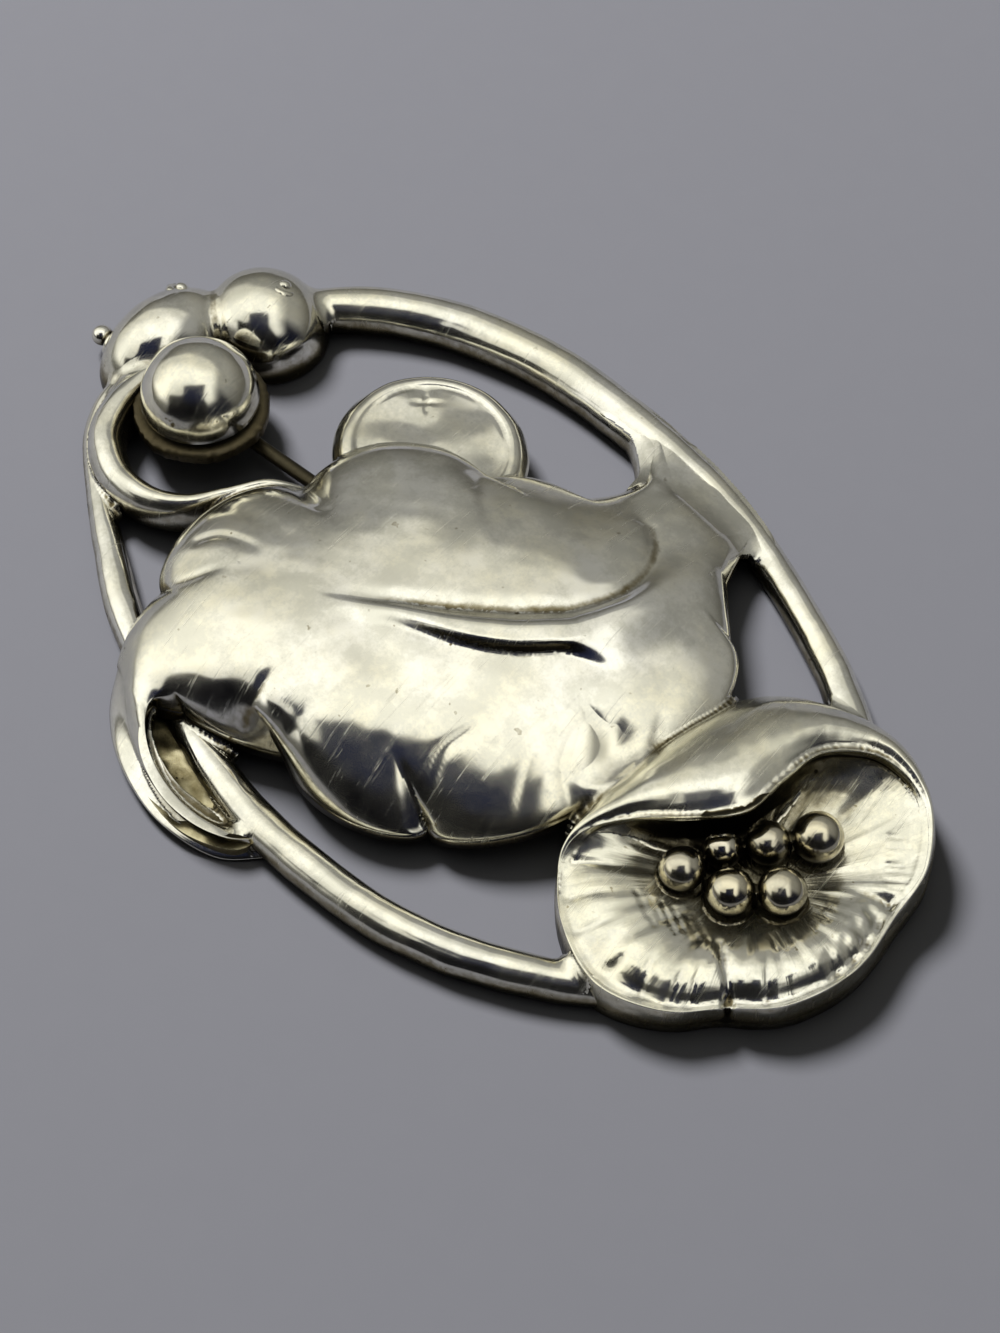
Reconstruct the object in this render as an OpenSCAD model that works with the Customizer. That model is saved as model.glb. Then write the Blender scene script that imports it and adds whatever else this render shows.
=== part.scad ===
// Openwork silver brooch: a curled vine leaf, a grape and three berries, and an open flower in an oval ring.
// All sizes are millimetres. +X points to the flower, +Z is up, and the ring's flat underside lies at z = 0.

/* [Silver] */
// Thickness of the leaf and petal walls
wall = 0.9; // [0.7:0.05:1.1]
// How high the leaf is blown up above its edges, as a factor
leaf_swell = 1; // [0.8:0.05:1.15]

/* [Ring] */
// Height of the long upper rail
upper_rail_h = 2.5; // [2:0.1:3]
// Height of the long lower rail
lower_rail_h = 2.1; // [1.8:0.1:2.4]

/* [Berries] */
// Radius of the domed berry in front
dome_r = 3.5; // [3:0.1:3.7]
// Height of its dome
dome_h = 3.3; // [2.8:0.1:3.6]
// Radius of the flat grape behind the leaf
grape_r = 5.0; // [4.6:0.1:5.2]

/* [Flower] */
// Height of the cup's floor at the stamens
cup_floor = 2.1; // [1.9:0.05:2.4]
// Radius of the largest stamen
stamen_r = 1.3; // [1.1:0.05:1.4]

/* [Pin] */
// Radius of the pin's wire
pin_r = 0.45; // [0.4:0.05:0.5]
// Distance of the pin's axis from the centre line
pin_y = 2.8; // [2.6:0.1:3]
// Height of the pin's axis above the table
pin_z = 1.15; // [1.1:0.05:1.3]

/* [Hidden] */
SILVER = [0.78, 0.77, 0.72];
STEEL = [0.70, 0.70, 0.70];

// Columns of the rails' and the stalk's tables: x, y, z of the underside, width, height;
// the two long rails' heights are shares of the named ones
UPPER_RAIL = [
    [-22.9, 11.6, 0.0, 2.6, 0.96],
    [-19.3, 14.9, 0.0, 3.0, 1.00],
    [-14.7, 17.3, 0.0, 3.1, 1.00],
    [ -9.0, 18.6, 0.0, 3.1, 1.00],
    [ -4.0, 18.7, 0.0, 3.0, 1.00],
    [  2.0, 18.1, 0.0, 2.9, 1.00],
    [  6.5, 17.3, 0.0, 2.6, 0.92],
    [ 10.2, 16.3, 0.0, 2.2, 0.80],
    [ 14.6, 14.3, 0.0, 2.1, 0.76],
    [ 18.8, 12.0, 0.0, 2.2, 0.76],
    [ 23.0,  8.8, 0.0, 2.4, 0.80]
];
LOWER_RAIL = [
    [-10.4, -12.9, 0.0, 1.6, 0.76],
    [ -7.4, -14.1, 0.0, 1.9, 0.90],
    [ -4.0, -15.2, 0.0, 2.2, 1.00],
    [  0.0, -16.1, 0.0, 2.4, 1.00],
    [  4.5, -16.4, 0.0, 2.4, 1.00],
    [  9.2, -16.2, 0.0, 2.4, 1.00],
    [ 13.8, -15.1, 0.0, 2.4, 1.00],
    [ 18.0, -13.3, 0.0, 2.3, 1.00],
    [ 21.4, -11.2, 0.0, 2.2, 0.90]
];
LEFT_RAIL = [
    [-26.8,   1.2, 0.0, 1.5, 1.9],
    [-26.6,  -0.8, 0.0, 1.5, 1.8],
    [-25.3,  -3.2, 0.0, 1.4, 1.7],
    [-22.6,  -5.6, 0.0, 1.5, 1.7],
    [-19.7,  -7.8, 0.0, 1.8, 1.9],
    [-15.2, -10.9, 0.0, 2.1, 2.0],
    [-10.4, -13.3, 0.0, 1.9, 1.8]
];
STALK = [
    [-25.2,  1.9, 0.4, 2.2, 2.7],
    [-25.2, -0.8, 0.3, 2.3, 2.9],
    [-24.1, -3.2, 0.4, 2.3, 2.8],
    [-21.8, -4.7, 0.6, 2.2, 2.6],
    [-19.2, -4.9, 0.6, 2.0, 2.6],
    [-17.0, -3.9, 0.6, 1.7, 2.6],
    [-15.5, -1.9, 0.6, 1.3, 2.6],
    [-14.0,  0.2, 1.0, 1.1, 2.2],
    [-11.6,  1.2, 1.5, 1.0, 1.7]
];

// Columns of the leaf's lobe tables: rung where the lobe starts, x, y, height of the edge, bulge of the lobe
LEAF_RUNGS = 40;
LEAF_LEFT = [
    [ 0,  -0.6,  17.5, 2.2, -0.4],
    [ 3,   1.6,  14.6, 2.4, -0.7],
    [ 7,  -0.5,  11.3, 3.1,  0.8],
    [11,  -3.8,   7.8, 4.0,  2.9],
    [21, -11.6,   0.9, 3.4,  2.6],
    [31, -13.2,  -9.5, 3.1,  0.5],
    [40, -12.4, -14.2, 1.7,  0.0]
];
LEAF_RIGHT = [
    [ 0,   9.2,  16.4, 1.8, -0.3],
    [ 5,  10.7,  11.8, 2.8,  0.0],
    [ 8,  13.7,   8.6, 3.3,  2.3],
    [17,  13.0,  -1.1, 3.2,  2.6],
    [24,   8.2, -11.0, 2.9,  1.9],
    [31,  -1.0, -12.4, 2.9,  0.5],
    [37,  -7.2, -14.2, 2.8,  0.1],
    [40,  -8.7, -15.0, 2.7,  0.0]
];
// Columns: rung, height of the leaf's swell above the line between its edges
LEAF_SWELL = [
    [ 0, 0.3],
    [ 4, 1.0],
    [11, 2.1],
    [19, 3.2],
    [27, 3.5],
    [33, 2.7],
    [40, 1.3]
];
// Columns of the leaf's valleys: x, y at the notch, x, y of the inner end, depth at the notch, half width
LEAF_VALLEYS = [
    [-13.1,  -9.3, -8.2, -6.1, 0.9, 1.4],
    [-11.8,   0.9, -6.7, -0.9, 1.0, 1.4],
    [ -4.0,   7.8,  3.1,  3.9, 0.9, 1.5],
    [ -1.1, -12.3,  0.2, -6.7, 1.1, 1.3],
    [ -4.4, -13.2, -2.5, -8.6, 0.6, 1.2],
    [  8.0, -11.2,  6.8, -7.1, 1.0, 1.3],
    [ 13.0,  -1.1, 10.2,  0.5, 0.6, 1.2]
];
LEAF_ACROSS = 15;
lobe_roundness = 0.62;
swell_roundness = 0.62;

// Columns of the midrib's table: x, y, z of the underside, width, height
MIDRIB = [
    [ 3.2, 17.4, 0.5, 2.6, 1.9],
    [ 5.2, 15.6, 1.6, 3.0, 1.7],
    [ 8.2, 11.4, 2.4, 3.2, 2.2],
    [ 9.5,  7.6, 3.4, 3.0, 2.2],
    [ 8.5,  4.2, 4.3, 2.4, 2.1],
    [ 5.5,  0.8, 4.8, 1.9, 2.0],
    [ 1.7, -1.5, 5.0, 1.5, 1.9],
    [-2.5, -3.4, 5.0, 1.2, 1.8],
    [-5.8, -5.2, 4.8, 0.7, 1.6]
];

// Columns of the curled lobe's table: x, y, z of the outer foot, x, y, z of the rim, swell between them
CURLED_LOBE = [
    [-12.4, -14.2, 1.7, -8.7, -15.0, 2.7, 1.3],
    [-11.1, -16.3, 1.1, -8.5, -16.3, 2.6, 1.0],
    [ -8.8, -18.1, 0.7, -7.1, -17.7, 2.5, 0.7],
    [ -5.6, -19.3, 0.6, -4.6, -18.8, 2.4, 0.5],
    [ -2.6, -19.6, 0.5, -2.2, -19.0, 2.1, 0.4],
    [  0.7, -18.4, 0.5,  0.6, -17.9, 1.7, 0.3]
];
// Corners of the hollow's floor, seen from above: along the lobe, then back under the rail
CURL_HOLLOW = [
    [-11.9, -14.7], [-10.6, -16.4], [-8.2, -17.9], [-5.1, -19.0], [-2.3, -19.2], [0.4, -18.1],
    [0.3, -16.2], [-3.8, -15.1], [-7.6, -14.1], [-10.2, -13.3]
];
// Height of that floor's underside, and its thickness
curl_floor = [0.15, 0.45];

// Columns of the flower's table, seen from above and anticlockwise from the lower left:
// x and y of the foot, x and y of the rim, height of the rim, how far the cup runs back under the rim
PETALS = [
    [14.9,  -8.4, 15.1,  -8.2, 2.8, 0.0],
    [17.3, -10.9, 17.3, -10.7, 2.6, 0.0],
    [20.8, -12.6, 20.9, -12.1, 2.5, 0.0],
    [24.4, -11.5, 24.5, -11.2, 2.5, 0.0],
    [26.8,  -9.2, 26.9,  -8.9, 2.3, 0.0],
    [29.4,  -7.0, 29.3,  -6.8, 2.6, 0.0],
    [31.0,  -3.2, 30.8,  -3.0, 2.7, 0.0],
    [30.9,   0.9, 30.4,   1.0, 2.6, 0.0],
    [30.5,   4.4, 30.2,   4.1, 3.2, 0.0],
    [28.4,   7.8, 28.0,   6.9, 4.0, 0.3],
    [24.6,   9.8, 25.0,   7.2, 4.9, 0.6],
    [20.6,   9.5, 22.6,   5.0, 5.7, 0.9],
    [16.8,   7.7, 22.1,   2.0, 6.2, 1.2],
    [14.9,   4.2, 21.8,  -0.8, 6.4, 1.4],
    [14.1,   0.4, 19.8,  -2.8, 6.0, 1.3],
    [13.9,  -3.4, 16.9,  -4.5, 4.9, 0.8],
    [14.1,  -6.4, 15.0,  -6.4, 3.8, 0.2]
];
PETAL_STEPS = 3;
CUP_MID = [23.6, -2.0];
// Columns: share of the way from foot to rim, share of the rim's height
FLANK = [
    [0.00, 0.30],
    [0.12, 0.56],
    [0.34, 0.80],
    [0.66, 0.95],
    [0.90, 1.00]
];
// Columns: share of the way from the cup's middle to the rim, share of the setback under the rim
CUP = [
    [0.97, 0.3],
    [0.92, 1.0],
    [0.80, 1.0],
    [0.62, 0.7],
    [0.40, 0.3],
    [0.18, 0.0]
];
// Columns: x, y, radius as a share of the largest
STAMENS = [
    [20.4, -4.5, 0.96],
    [21.3, -2.1, 0.82],
    [23.2, -3.9, 1.00],
    [23.0, -0.3, 0.94],
    [24.9,  1.6, 1.08],
    [25.3, -2.1, 1.03]
];

BERRY_TOP = [-23.2, 9.9];
BERRY_LEFT = [-27.0, 4.6];
DOME = [-21.2, 2.1];
GRAPE = [-8.3, 7.9];
GRAPE_TILT = [-3.5, 3, 3];
disc_under = 1.95;
HINGE_X = 18.0;
knuckle_r = 0.95;
lug_gap = 1.6;
play = 0.12;

function flatten(lists) = [for (l = lists) for (v = l) v];
function between(a, b, t) = a + (b - a) * t;
function mean(points) = [for (p = points) 1] * points / len(points);
function unit(v) = v / max(norm(v), 0.0001);

// A smooth curve through the rows of a table; every column is carried along
function spline_row(a, b, c, d, t) =
    0.5 * (2 * b + (c - a) * t + (2 * a - 5 * b + 4 * c - d) * t * t + (3 * b - a - 3 * c + d) * t * t * t);
function open_curve(rows, steps) = [
    for (i = [0:len(rows) - 2], k = [0:steps - 1])
        spline_row(rows[max(i - 1, 0)], rows[i], rows[i + 1], rows[min(i + 2, len(rows) - 1)], k / steps),
    rows[len(rows) - 1]
];
function closed_curve(rows, steps) = let (n = len(rows)) [
    for (i = [0:n - 1], k = [0:steps - 1])
        spline_row(rows[(i + n - 1) % n], rows[i], rows[(i + 1) % n], rows[(i + 2) % n], k / steps)
];
// The value of a table's last column at a place in its first column
function look_up(rows, at, i = 0) =
    i >= len(rows) - 2 || at <= rows[i + 1][0]
        ? between(rows[i][1], rows[i + 1][1], smooth_step((at - rows[i][0]) / (rows[i + 1][0] - rows[i][0])))
        : look_up(rows, at, i + 1);
function smooth_step(t) = let (u = min(max(t, 0), 1)) u * u * (3 - 2 * u);

// A closed skin over a stack of equal rings, each anticlockwise seen from the stack's far end
module skin(rings) {
    n = len(rings[0]);
    m = len(rings);
    first = n * m;
    polyhedron(
        points = concat(flatten(rings), [mean(rings[0]), mean(rings[m - 1])]),
        faces = concat(
            [for (i = [0:m - 2], j = [0:n - 1]) [i * n + j, (i + 1) * n + j, (i + 1) * n + (j + 1) % n]],
            [for (i = [0:m - 2], j = [0:n - 1]) [i * n + j, (i + 1) * n + (j + 1) % n, i * n + (j + 1) % n]],
            [for (j = [0:n - 1]) [j, (j + 1) % n, first]],
            [for (j = [0:n - 1]) [(m - 1) * n + (j + 1) % n, (m - 1) * n + j, first + 1]]
        )
    );
}

// A round-backed rail with a flat underside, along rows of x, y, z, width and height:
// its section is the upper part of an oval, cut off where the oval reaches the underside
rail_sides = 8;
rail_steps = 3;
rail_middle = 0.4;
rail_cut = asin(rail_middle / (1 - rail_middle));
module rail(rows, tall = 1) {
    path = open_curve(rows, rail_steps);
    last = len(path) - 1;
    skin([
        for (i = [0:last])
            let (
                run = path[min(i + 1, last)] - path[max(i - 1, 0)],
                along = unit([run[0], run[1]]),
                row = path[i]
            )
            [
                for (k = [0:rail_sides])
                    let (turn = -rail_cut + (180 + 2 * rail_cut) * k / rail_sides, out = cos(turn) * row[3] / 2)
                    [
                        row[0] - along[1] * out,
                        row[1] + along[0] * out,
                        row[2] + max(0, tall * row[4] * (rail_middle + (1 - rail_middle) * sin(turn)))
                    ]
            ]
    ]);
}

// A dome on a round or oval foot, with a little upright edge below it
module dome(r, h, edge, sides = 20, levels = 5, stretch = [1, 1]) {
    skin(concat(
        [ring(r * 0.94, 0, sides, stretch)],
        [for (k = [0:levels]) ring(r * cos(85 * k / levels), edge + h * sin(90 * k / levels), sides, stretch)]
    ));
}
function ring(r, z, sides, stretch = [1, 1]) = [
    for (j = [0:sides - 1])
        [r * stretch[0] * cos(360 * j / sides), r * stretch[1] * sin(360 * j / sides), z]
];

// One side of the leaf: the point of its edge at a rung, bulged out between two notches
function lobe_point(rows, rung, side, i = 0) =
    i < len(rows) - 2 && rung >= rows[i + 1][0]
        ? lobe_point(rows, rung, side, i + 1)
        : let (
            a = rows[i],
            b = rows[i + 1],
            t = (rung - a[0]) / (b[0] - a[0]),
            out = unit([b[2] - a[2], a[1] - b[1]]) * side,
            arch = pow(4 * t * (1 - t), lobe_roundness)
        )
        [
            between(a[1], b[1], t) + out[0] * a[4] * arch,
            between(a[2], b[2], t) + out[1] * a[4] * arch,
            between(a[3], b[3], t) + 0.12 * max(a[4], 0) * arch
        ];
// How deep the valleys are at a place seen from above: each fades from its notch to its inner end
function valley_depth(place) = sum([
    for (v = LEAF_VALLEYS)
        let (
            from = [v[0], v[1]],
            run = [v[2], v[3]] - from,
            share = min(max((place - from) * run / (run * run), 0), 1),
            off = norm(place - from - run * share) / v[5]
        )
        v[4] * exp(-off * off) * (1 - share)
]);
function sum(v) = [for (x = v) 1] * v;

// One section of the leaf's sheet between its two edges: the top from right to left, then the underside back
function leaf_section(left, right, swell) =
    let (
        chord = right - left,
        level = norm([chord[0], chord[1]]),
        tilt = chord[2] / level,
        down = unit([chord[0] / level * tilt, chord[1] / level * tilt, -1]) * wall,
        top = [
            for (k = [0:LEAF_ACROSS])
                let (
                    across = 0.5 - 0.5 * cos(180 * k / LEAF_ACROSS),
                    p = left + chord * across,
                    bow = swell * pow(4 * across * (1 - across), swell_roundness)
                )
                p + [0, 0, bow - min(valley_depth([p[0], p[1]]), 0.7 * bow)]
        ]
    )
    concat(
        [for (k = [LEAF_ACROSS:-1:0]) top[k]],
        [for (p = top) [p[0] + down[0], p[1] + down[1], max(p[2] + down[2], 0)]]
    );

// The leaf's sheet, whose last lobe goes on and curls round the lower rail
module leaf() {
    skin(concat(
        [
            for (rung = [0:LEAF_RUNGS - 1])
                leaf_section(
                    lobe_point(LEAF_LEFT, rung, 1),
                    lobe_point(LEAF_RIGHT, rung, -1),
                    look_up(LEAF_SWELL, rung) * leaf_swell
                )
        ],
        [
            for (row = open_curve(CURLED_LOBE, 3))
                leaf_section([row[0], row[1], row[2]], [row[3], row[4], row[5]], row[6])
        ]
    ));
}

module midrib() {
    rail(MIDRIB);
}

// The floor of the hollow between the curled lobe and the lower rail
module curl_hollow() {
    translate([0, 0, curl_floor[0]]) linear_extrude(curl_floor[1]) polygon(CURL_HOLLOW);
}

function petal_foot(p) = [p[0], p[1]];
function petal_rim(p) = [p[2], p[3]];
function petal_back(p) = unit(petal_foot(p) - petal_rim(p) + unit(petal_rim(p) - CUP_MID) * 0.5) * p[5];

module flower() {
    columns = closed_curve(PETALS, PETAL_STEPS);
    under = cup_floor - wall;
    skin(concat(
        // The hollow underside, from the middle out to the foot
        [
            for (t = [0.2, 0.6])
                [for (p = columns) let (q = between(CUP_MID, petal_rim(p) + petal_back(p), t)) [q[0], q[1], under]]
        ],
        [[
            for (p = columns)
                let (q = petal_rim(p) + petal_back(p) + unit(CUP_MID - petal_rim(p)) * 0.8)
                [q[0], q[1], under + 0.1]
        ]],
        [[
            for (p = columns)
                let (q = between(petal_foot(p), petal_rim(p), 0.75) + unit(CUP_MID - petal_foot(p)) * 0.4)
                [q[0], q[1], max(p[4] * 0.93 - wall, under + 0.15)]
        ]],
        [[
            for (p = columns)
                let (q = between(petal_foot(p), petal_rim(p), 0.3) + unit(CUP_MID - petal_foot(p)) * 0.7)
                [q[0], q[1], max(p[4] * 0.8 - wall, under + 0.1)]
        ]],
        [[for (p = columns) let (q = petal_foot(p) + unit(CUP_MID - petal_foot(p)) * wall) [q[0], q[1], 0]]],
        [[for (p = columns) let (q = petal_foot(p)) [q[0], q[1], 0]]],
        // The flank up to the rim
        [
            for (f = FLANK)
                [for (p = columns) let (q = between(petal_foot(p), petal_rim(p), f[0])) [q[0], q[1], p[4] * f[1]]]
        ],
        [[for (p = columns) let (q = petal_rim(p)) [q[0], q[1], p[4] * 0.985]]],
        // The cup, which runs back under the folded rim
        [
            for (c = CUP)
                [
                    for (p = columns)
                        let (q = between(CUP_MID, petal_rim(p), c[0]) + petal_back(p) * c[1])
                        [q[0], q[1], between(cup_floor, p[4], pow(c[0], 1.8 + 4.5 * p[5]))]
                ]
        ]
    ));
}

module stamens() {
    for (s = STAMENS)
        hull() {
            r = stamen_r * s[2];
            translate([s[0], s[1], cup_floor + r * 1.05]) sphere(r = r, $fn = 12);
            translate([s[0], s[1], cup_floor - 0.3]) cylinder(r = r * 0.7, h = 0.3, $fn = 12);
        }
}

// A small bud on a berry's top
module bud(place, r) {
    hull() {
        translate(place) sphere(r = r, $fn = 10);
        translate(place - [0, 0, 0.6]) cylinder(r = r * 1.5, h = 0.2, $fn = 10);
    }
}

module berries() {
    translate([BERRY_TOP[0], BERRY_TOP[1], 0]) dome(3.5, 4.1, 0.6);
    translate([BERRY_LEFT[0], BERRY_LEFT[1], 0]) rotate(10) dome(3.25, 3.8, 0.6, stretch = [1, 1.42]);
    bud([-23.3, 11.6, 4.25], 0.35);
    bud([-28.4, 6.9, 3.6], 0.35);
}

// The domed berry sits on a thin disc, with a narrow neck that leaves a dark seam between them
disc_h = 1.05;
seam_h = 0.4;
module domed_berry() {
    translate([DOME[0], DOME[1], disc_under]) {
        dome(dome_r + 0.6, disc_h - 0.7, 0.7, sides = 24, levels = 1);
        translate([0, 0, disc_h / 2]) rotate(5) cylinder(r = dome_r * 0.7, h = disc_h / 2 + seam_h + 0.3, $fn = 24);
        translate([0, 0, disc_h + seam_h]) dome(dome_r, dome_h, 0.25, sides = 24, levels = 5);
    }
}

// The flat grape behind the leaf: a puffed body with a round face and a low rim
// Columns: share of the face's radius, height
GRAPE_RINGS = [
    [0.92, 1.5],
    [1.13, 1.9],
    [1.17, 2.6],
    [1.11, 3.2],
    [1.00, 3.6],
    [0.96, 3.7],
    [0.89, 3.6],
    [0.50, 3.75]
];
module grape() {
    translate([GRAPE[0], GRAPE[1], 0]) rotate(GRAPE_TILT)
        skin([for (row = GRAPE_RINGS) ring(grape_r * row[0], row[1], 36)]);
}

// The two ears soldered under the flower's flank, which hold the pin's knuckle
module hinge_ears() {
    for (side = [-1, 1])
        hull() {
            translate([HINGE_X, pin_y + side * (lug_gap / 2 + play + 0.35), pin_z])
                rotate([90, 0, 0]) cylinder(r = knuckle_r, h = 0.7, center = true, $fn = 20);
            translate([HINGE_X, pin_y + side * (lug_gap / 2 + play + 0.35), 4.0])
                cube([2 * knuckle_r, 0.7, 0.4], center = true);
        }
}

// The room that the pin, its knuckle and the catch take up behind the front
module pin_room() {
    translate([-31.5, pin_y, pin_z]) rotate([0, 90, 0]) cylinder(r = 1.25, h = 8.5, $fn = 24);
    translate([-31.5, pin_y, pin_z]) rotate([0, 90, 0]) cylinder(r = pin_r + 0.3, h = 48, $fn = 16);
    translate([HINGE_X, pin_y, pin_z])
        rotate([90, 0, 0]) cylinder(r = knuckle_r + 0.25, h = lug_gap + 2 * play, center = true, $fn = 24);
}

module openwork_front() {
    color(SILVER) difference() {
        union() {
            rail(UPPER_RAIL, upper_rail_h);
            rail(LOWER_RAIL, lower_rail_h);
            rail(LEFT_RAIL);
            rail(STALK);
            leaf();
            midrib();
            curl_hollow();
            flower();
            stamens();
            berries();
            domed_berry();
            grape();
            hinge_ears();
        }
        pin_room();
    }
}

module pin_stem() {
    color(STEEL) {
        translate([HINGE_X, pin_y, pin_z])
            rotate([90, 0, 0]) cylinder(r = knuckle_r, h = lug_gap, center = true, $fn = 48);
        translate([-26.4, pin_y, pin_z]) rotate([0, 90, 0]) cylinder(r = pin_r, h = HINGE_X + 26.4, $fn = 48);
        translate([-28.2, pin_y, pin_z]) rotate([0, 90, 0]) cylinder(r1 = 0.12, r2 = pin_r, h = 1.8, $fn = 48);
    }
}

module catch() {
    color(SILVER) {
        translate([-29.6, pin_y, pin_z]) rotate([0, 90, 0])
            difference() {
                cylinder(r = 1.0, h = 3.4, $fn = 48);
                translate([0, 0, 0.9]) cylinder(r = pin_r + play, h = 3, $fn = 48);
            }
        translate([-30.1, pin_y, pin_z]) rotate([0, 90, 0]) cylinder(r = 0.4, h = 0.7, $fn = 48);
        translate([-30.5, pin_y, pin_z]) sphere(r = 0.65, $fn = 48);
    }
}

openwork_front();
pin_stem();
catch();
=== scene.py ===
"""Worn silver grape brooch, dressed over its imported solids. Tables are in millimetres, in their frame."""
import math
import bpy
import numpy as np
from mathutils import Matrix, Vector
from mathutils.bvhtree import BVHTree


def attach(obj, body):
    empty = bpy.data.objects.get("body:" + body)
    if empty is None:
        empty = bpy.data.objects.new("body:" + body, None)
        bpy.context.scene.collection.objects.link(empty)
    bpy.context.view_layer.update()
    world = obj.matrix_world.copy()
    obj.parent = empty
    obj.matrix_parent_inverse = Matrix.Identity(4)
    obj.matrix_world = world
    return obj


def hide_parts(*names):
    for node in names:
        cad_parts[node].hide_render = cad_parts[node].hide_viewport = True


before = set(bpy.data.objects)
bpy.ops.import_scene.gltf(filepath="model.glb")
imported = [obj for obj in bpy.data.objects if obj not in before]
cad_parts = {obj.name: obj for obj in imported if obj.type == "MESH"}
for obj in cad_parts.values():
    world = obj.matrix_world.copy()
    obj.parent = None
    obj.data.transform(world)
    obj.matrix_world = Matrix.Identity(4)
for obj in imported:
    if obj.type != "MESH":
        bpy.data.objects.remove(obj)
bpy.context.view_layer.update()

MM = 0.001


def placed(name, data):
    """A new object in the scene."""
    thing = bpy.data.objects.new(name, data)
    bpy.context.scene.collection.objects.link(thing)
    return thing


# camera
ELEVATION = 58.0
AZIMUTH = 40.0
DISTANCE = 150.0
TARGET = Vector((4.2, -0.3, 2.0))
FOCAL_PIXELS = 2650.0
TALL_PIXELS = 1333.0


def facing(elevation, azimuth):
    """The unit vector from the brooch to a place in the room: azimuth 0 is towards the camera."""
    turn = math.radians(AZIMUTH + azimuth)
    rise = math.radians(elevation)
    return Vector((math.sin(turn) * math.cos(rise), -math.cos(turn) * math.cos(rise), math.sin(rise)))


def look_back(thing, out, distance, target=Vector((0, 0, 0))):
    """Put a thing at a distance in metres out from a target in millimetres, and point it back there."""
    thing.location = target * MM + out * distance
    thing.rotation_euler = (-out).to_track_quat("-Z", "Y").to_euler()


def make_camera():
    data = bpy.data.cameras.new("camera")
    data.sensor_width = 36.0
    data.lens = FOCAL_PIXELS / TALL_PIXELS * data.sensor_width
    data.clip_start = 0.005
    camera = placed("camera", data)
    look_back(camera, facing(ELEVATION, 0), DISTANCE * MM, TARGET)
    bpy.context.scene.camera = camera


make_camera()


# node maths
def put(tree, socket, value):
    """Link a socket to a value's node, or set it."""
    if isinstance(value, Number):
        value = value.socket
    if isinstance(value, bpy.types.NodeSocket):
        tree.links.new(value, socket)
    elif hasattr(socket.default_value, "__len__") and len(value) < len(socket.default_value):
        socket.default_value = (*value, 1.0)
    else:
        socket.default_value = value


def maths(operation, *values):
    """The result of a Math node over these values, at least one of which is a Number."""
    tree = next(value.tree for value in values if isinstance(value, Number))
    node = tree.nodes.new("ShaderNodeMath")
    node.operation = operation
    for socket, value in zip(node.inputs, values):
        put(tree, socket, value)
    return Number(tree, node.outputs[0])


def arithmetic(operation):
    return lambda self, other: maths(operation, self, other)


class Number:
    """A number in a node tree. Arithmetic on it adds the Math nodes."""

    def __init__(self, tree, socket):
        self.tree = tree
        self.socket = socket

    __add__ = __radd__ = arithmetic("ADD")
    __mul__ = __rmul__ = arithmetic("MULTIPLY")
    __sub__ = arithmetic("SUBTRACT")
    __truediv__ = arithmetic("DIVIDE")
    least = arithmetic("MINIMUM")
    most = arithmetic("MAXIMUM")

    def __rsub__(self, other):
        return maths("SUBTRACT", other, self)

    def clamp(self):
        return self.most(0.0).least(1.0)

    def ramp(self, low, high):
        """0 below low, 1 above high, and smooth between them; low may be the larger one."""
        t = ((self - low) / (high - low)).clamp()
        return t * t * (3.0 - 2.0 * t)


class Nodes:
    """A node tree that holds a finish or the room's light."""

    def __init__(self, owner):
        owner.use_nodes = True
        self.tree = owner.node_tree
        self.tree.nodes.clear()

    def add(self, kind, inputs=None, **settings):
        node = self.tree.nodes.new("ShaderNode" + kind)
        for name, value in settings.items():
            setattr(node, name, value)
        for name, value in (inputs or {}).items():
            put(self.tree, node.inputs[name], value)
        return node

    def number(self, kind, inputs=None, out=0, **settings):
        return Number(self.tree, self.add(kind, inputs, **settings).outputs[out])

    def mark(self, name):
        """A number that the mesh carries at each point."""
        return self.number("Attribute", out=2, attribute_name=name)

    def mix(self, share, a, b):
        return self.add("Mix", {0: share, 6: a, 7: b}, data_type="RGBA").outputs[2]

    def stretched(self, place, scale, turn):
        return self.add("Mapping", {"Vector": place, "Rotation": turn, "Scale": scale}).outputs[0]

    def noise(self, place, scale, detail=3.0, roughness=0.55):
        inputs = {"Vector": place, "Scale": scale, "Detail": detail, "Roughness": roughness}
        return self.number("TexNoise", inputs)

    def dot(self, place, direction):
        return self.number("VectorMath", {0: place, 1: tuple(direction)}, out=1, operation="DOT_PRODUCT")


# silver
# Columns: turn of a family of scratches, how fine they are, how long beside their width
SCRATCHES = [[0.5, 1.0, 26.0], [1.9, 1.25, 34.0], [-0.75, 0.85, 30.0], [1.15, 1.5, 22.0]]
SCRATCH_SCALE = 3600.0
SKY_REACH = 2.6
YELLOWED = (0.97, 0.945, 0.83)
GREYED = (0.76, 0.76, 0.72)
MOST_POLISHED = 0.05
MOST_HAZED = 0.8
HAZE_ROUGHER = 0.24


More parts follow.
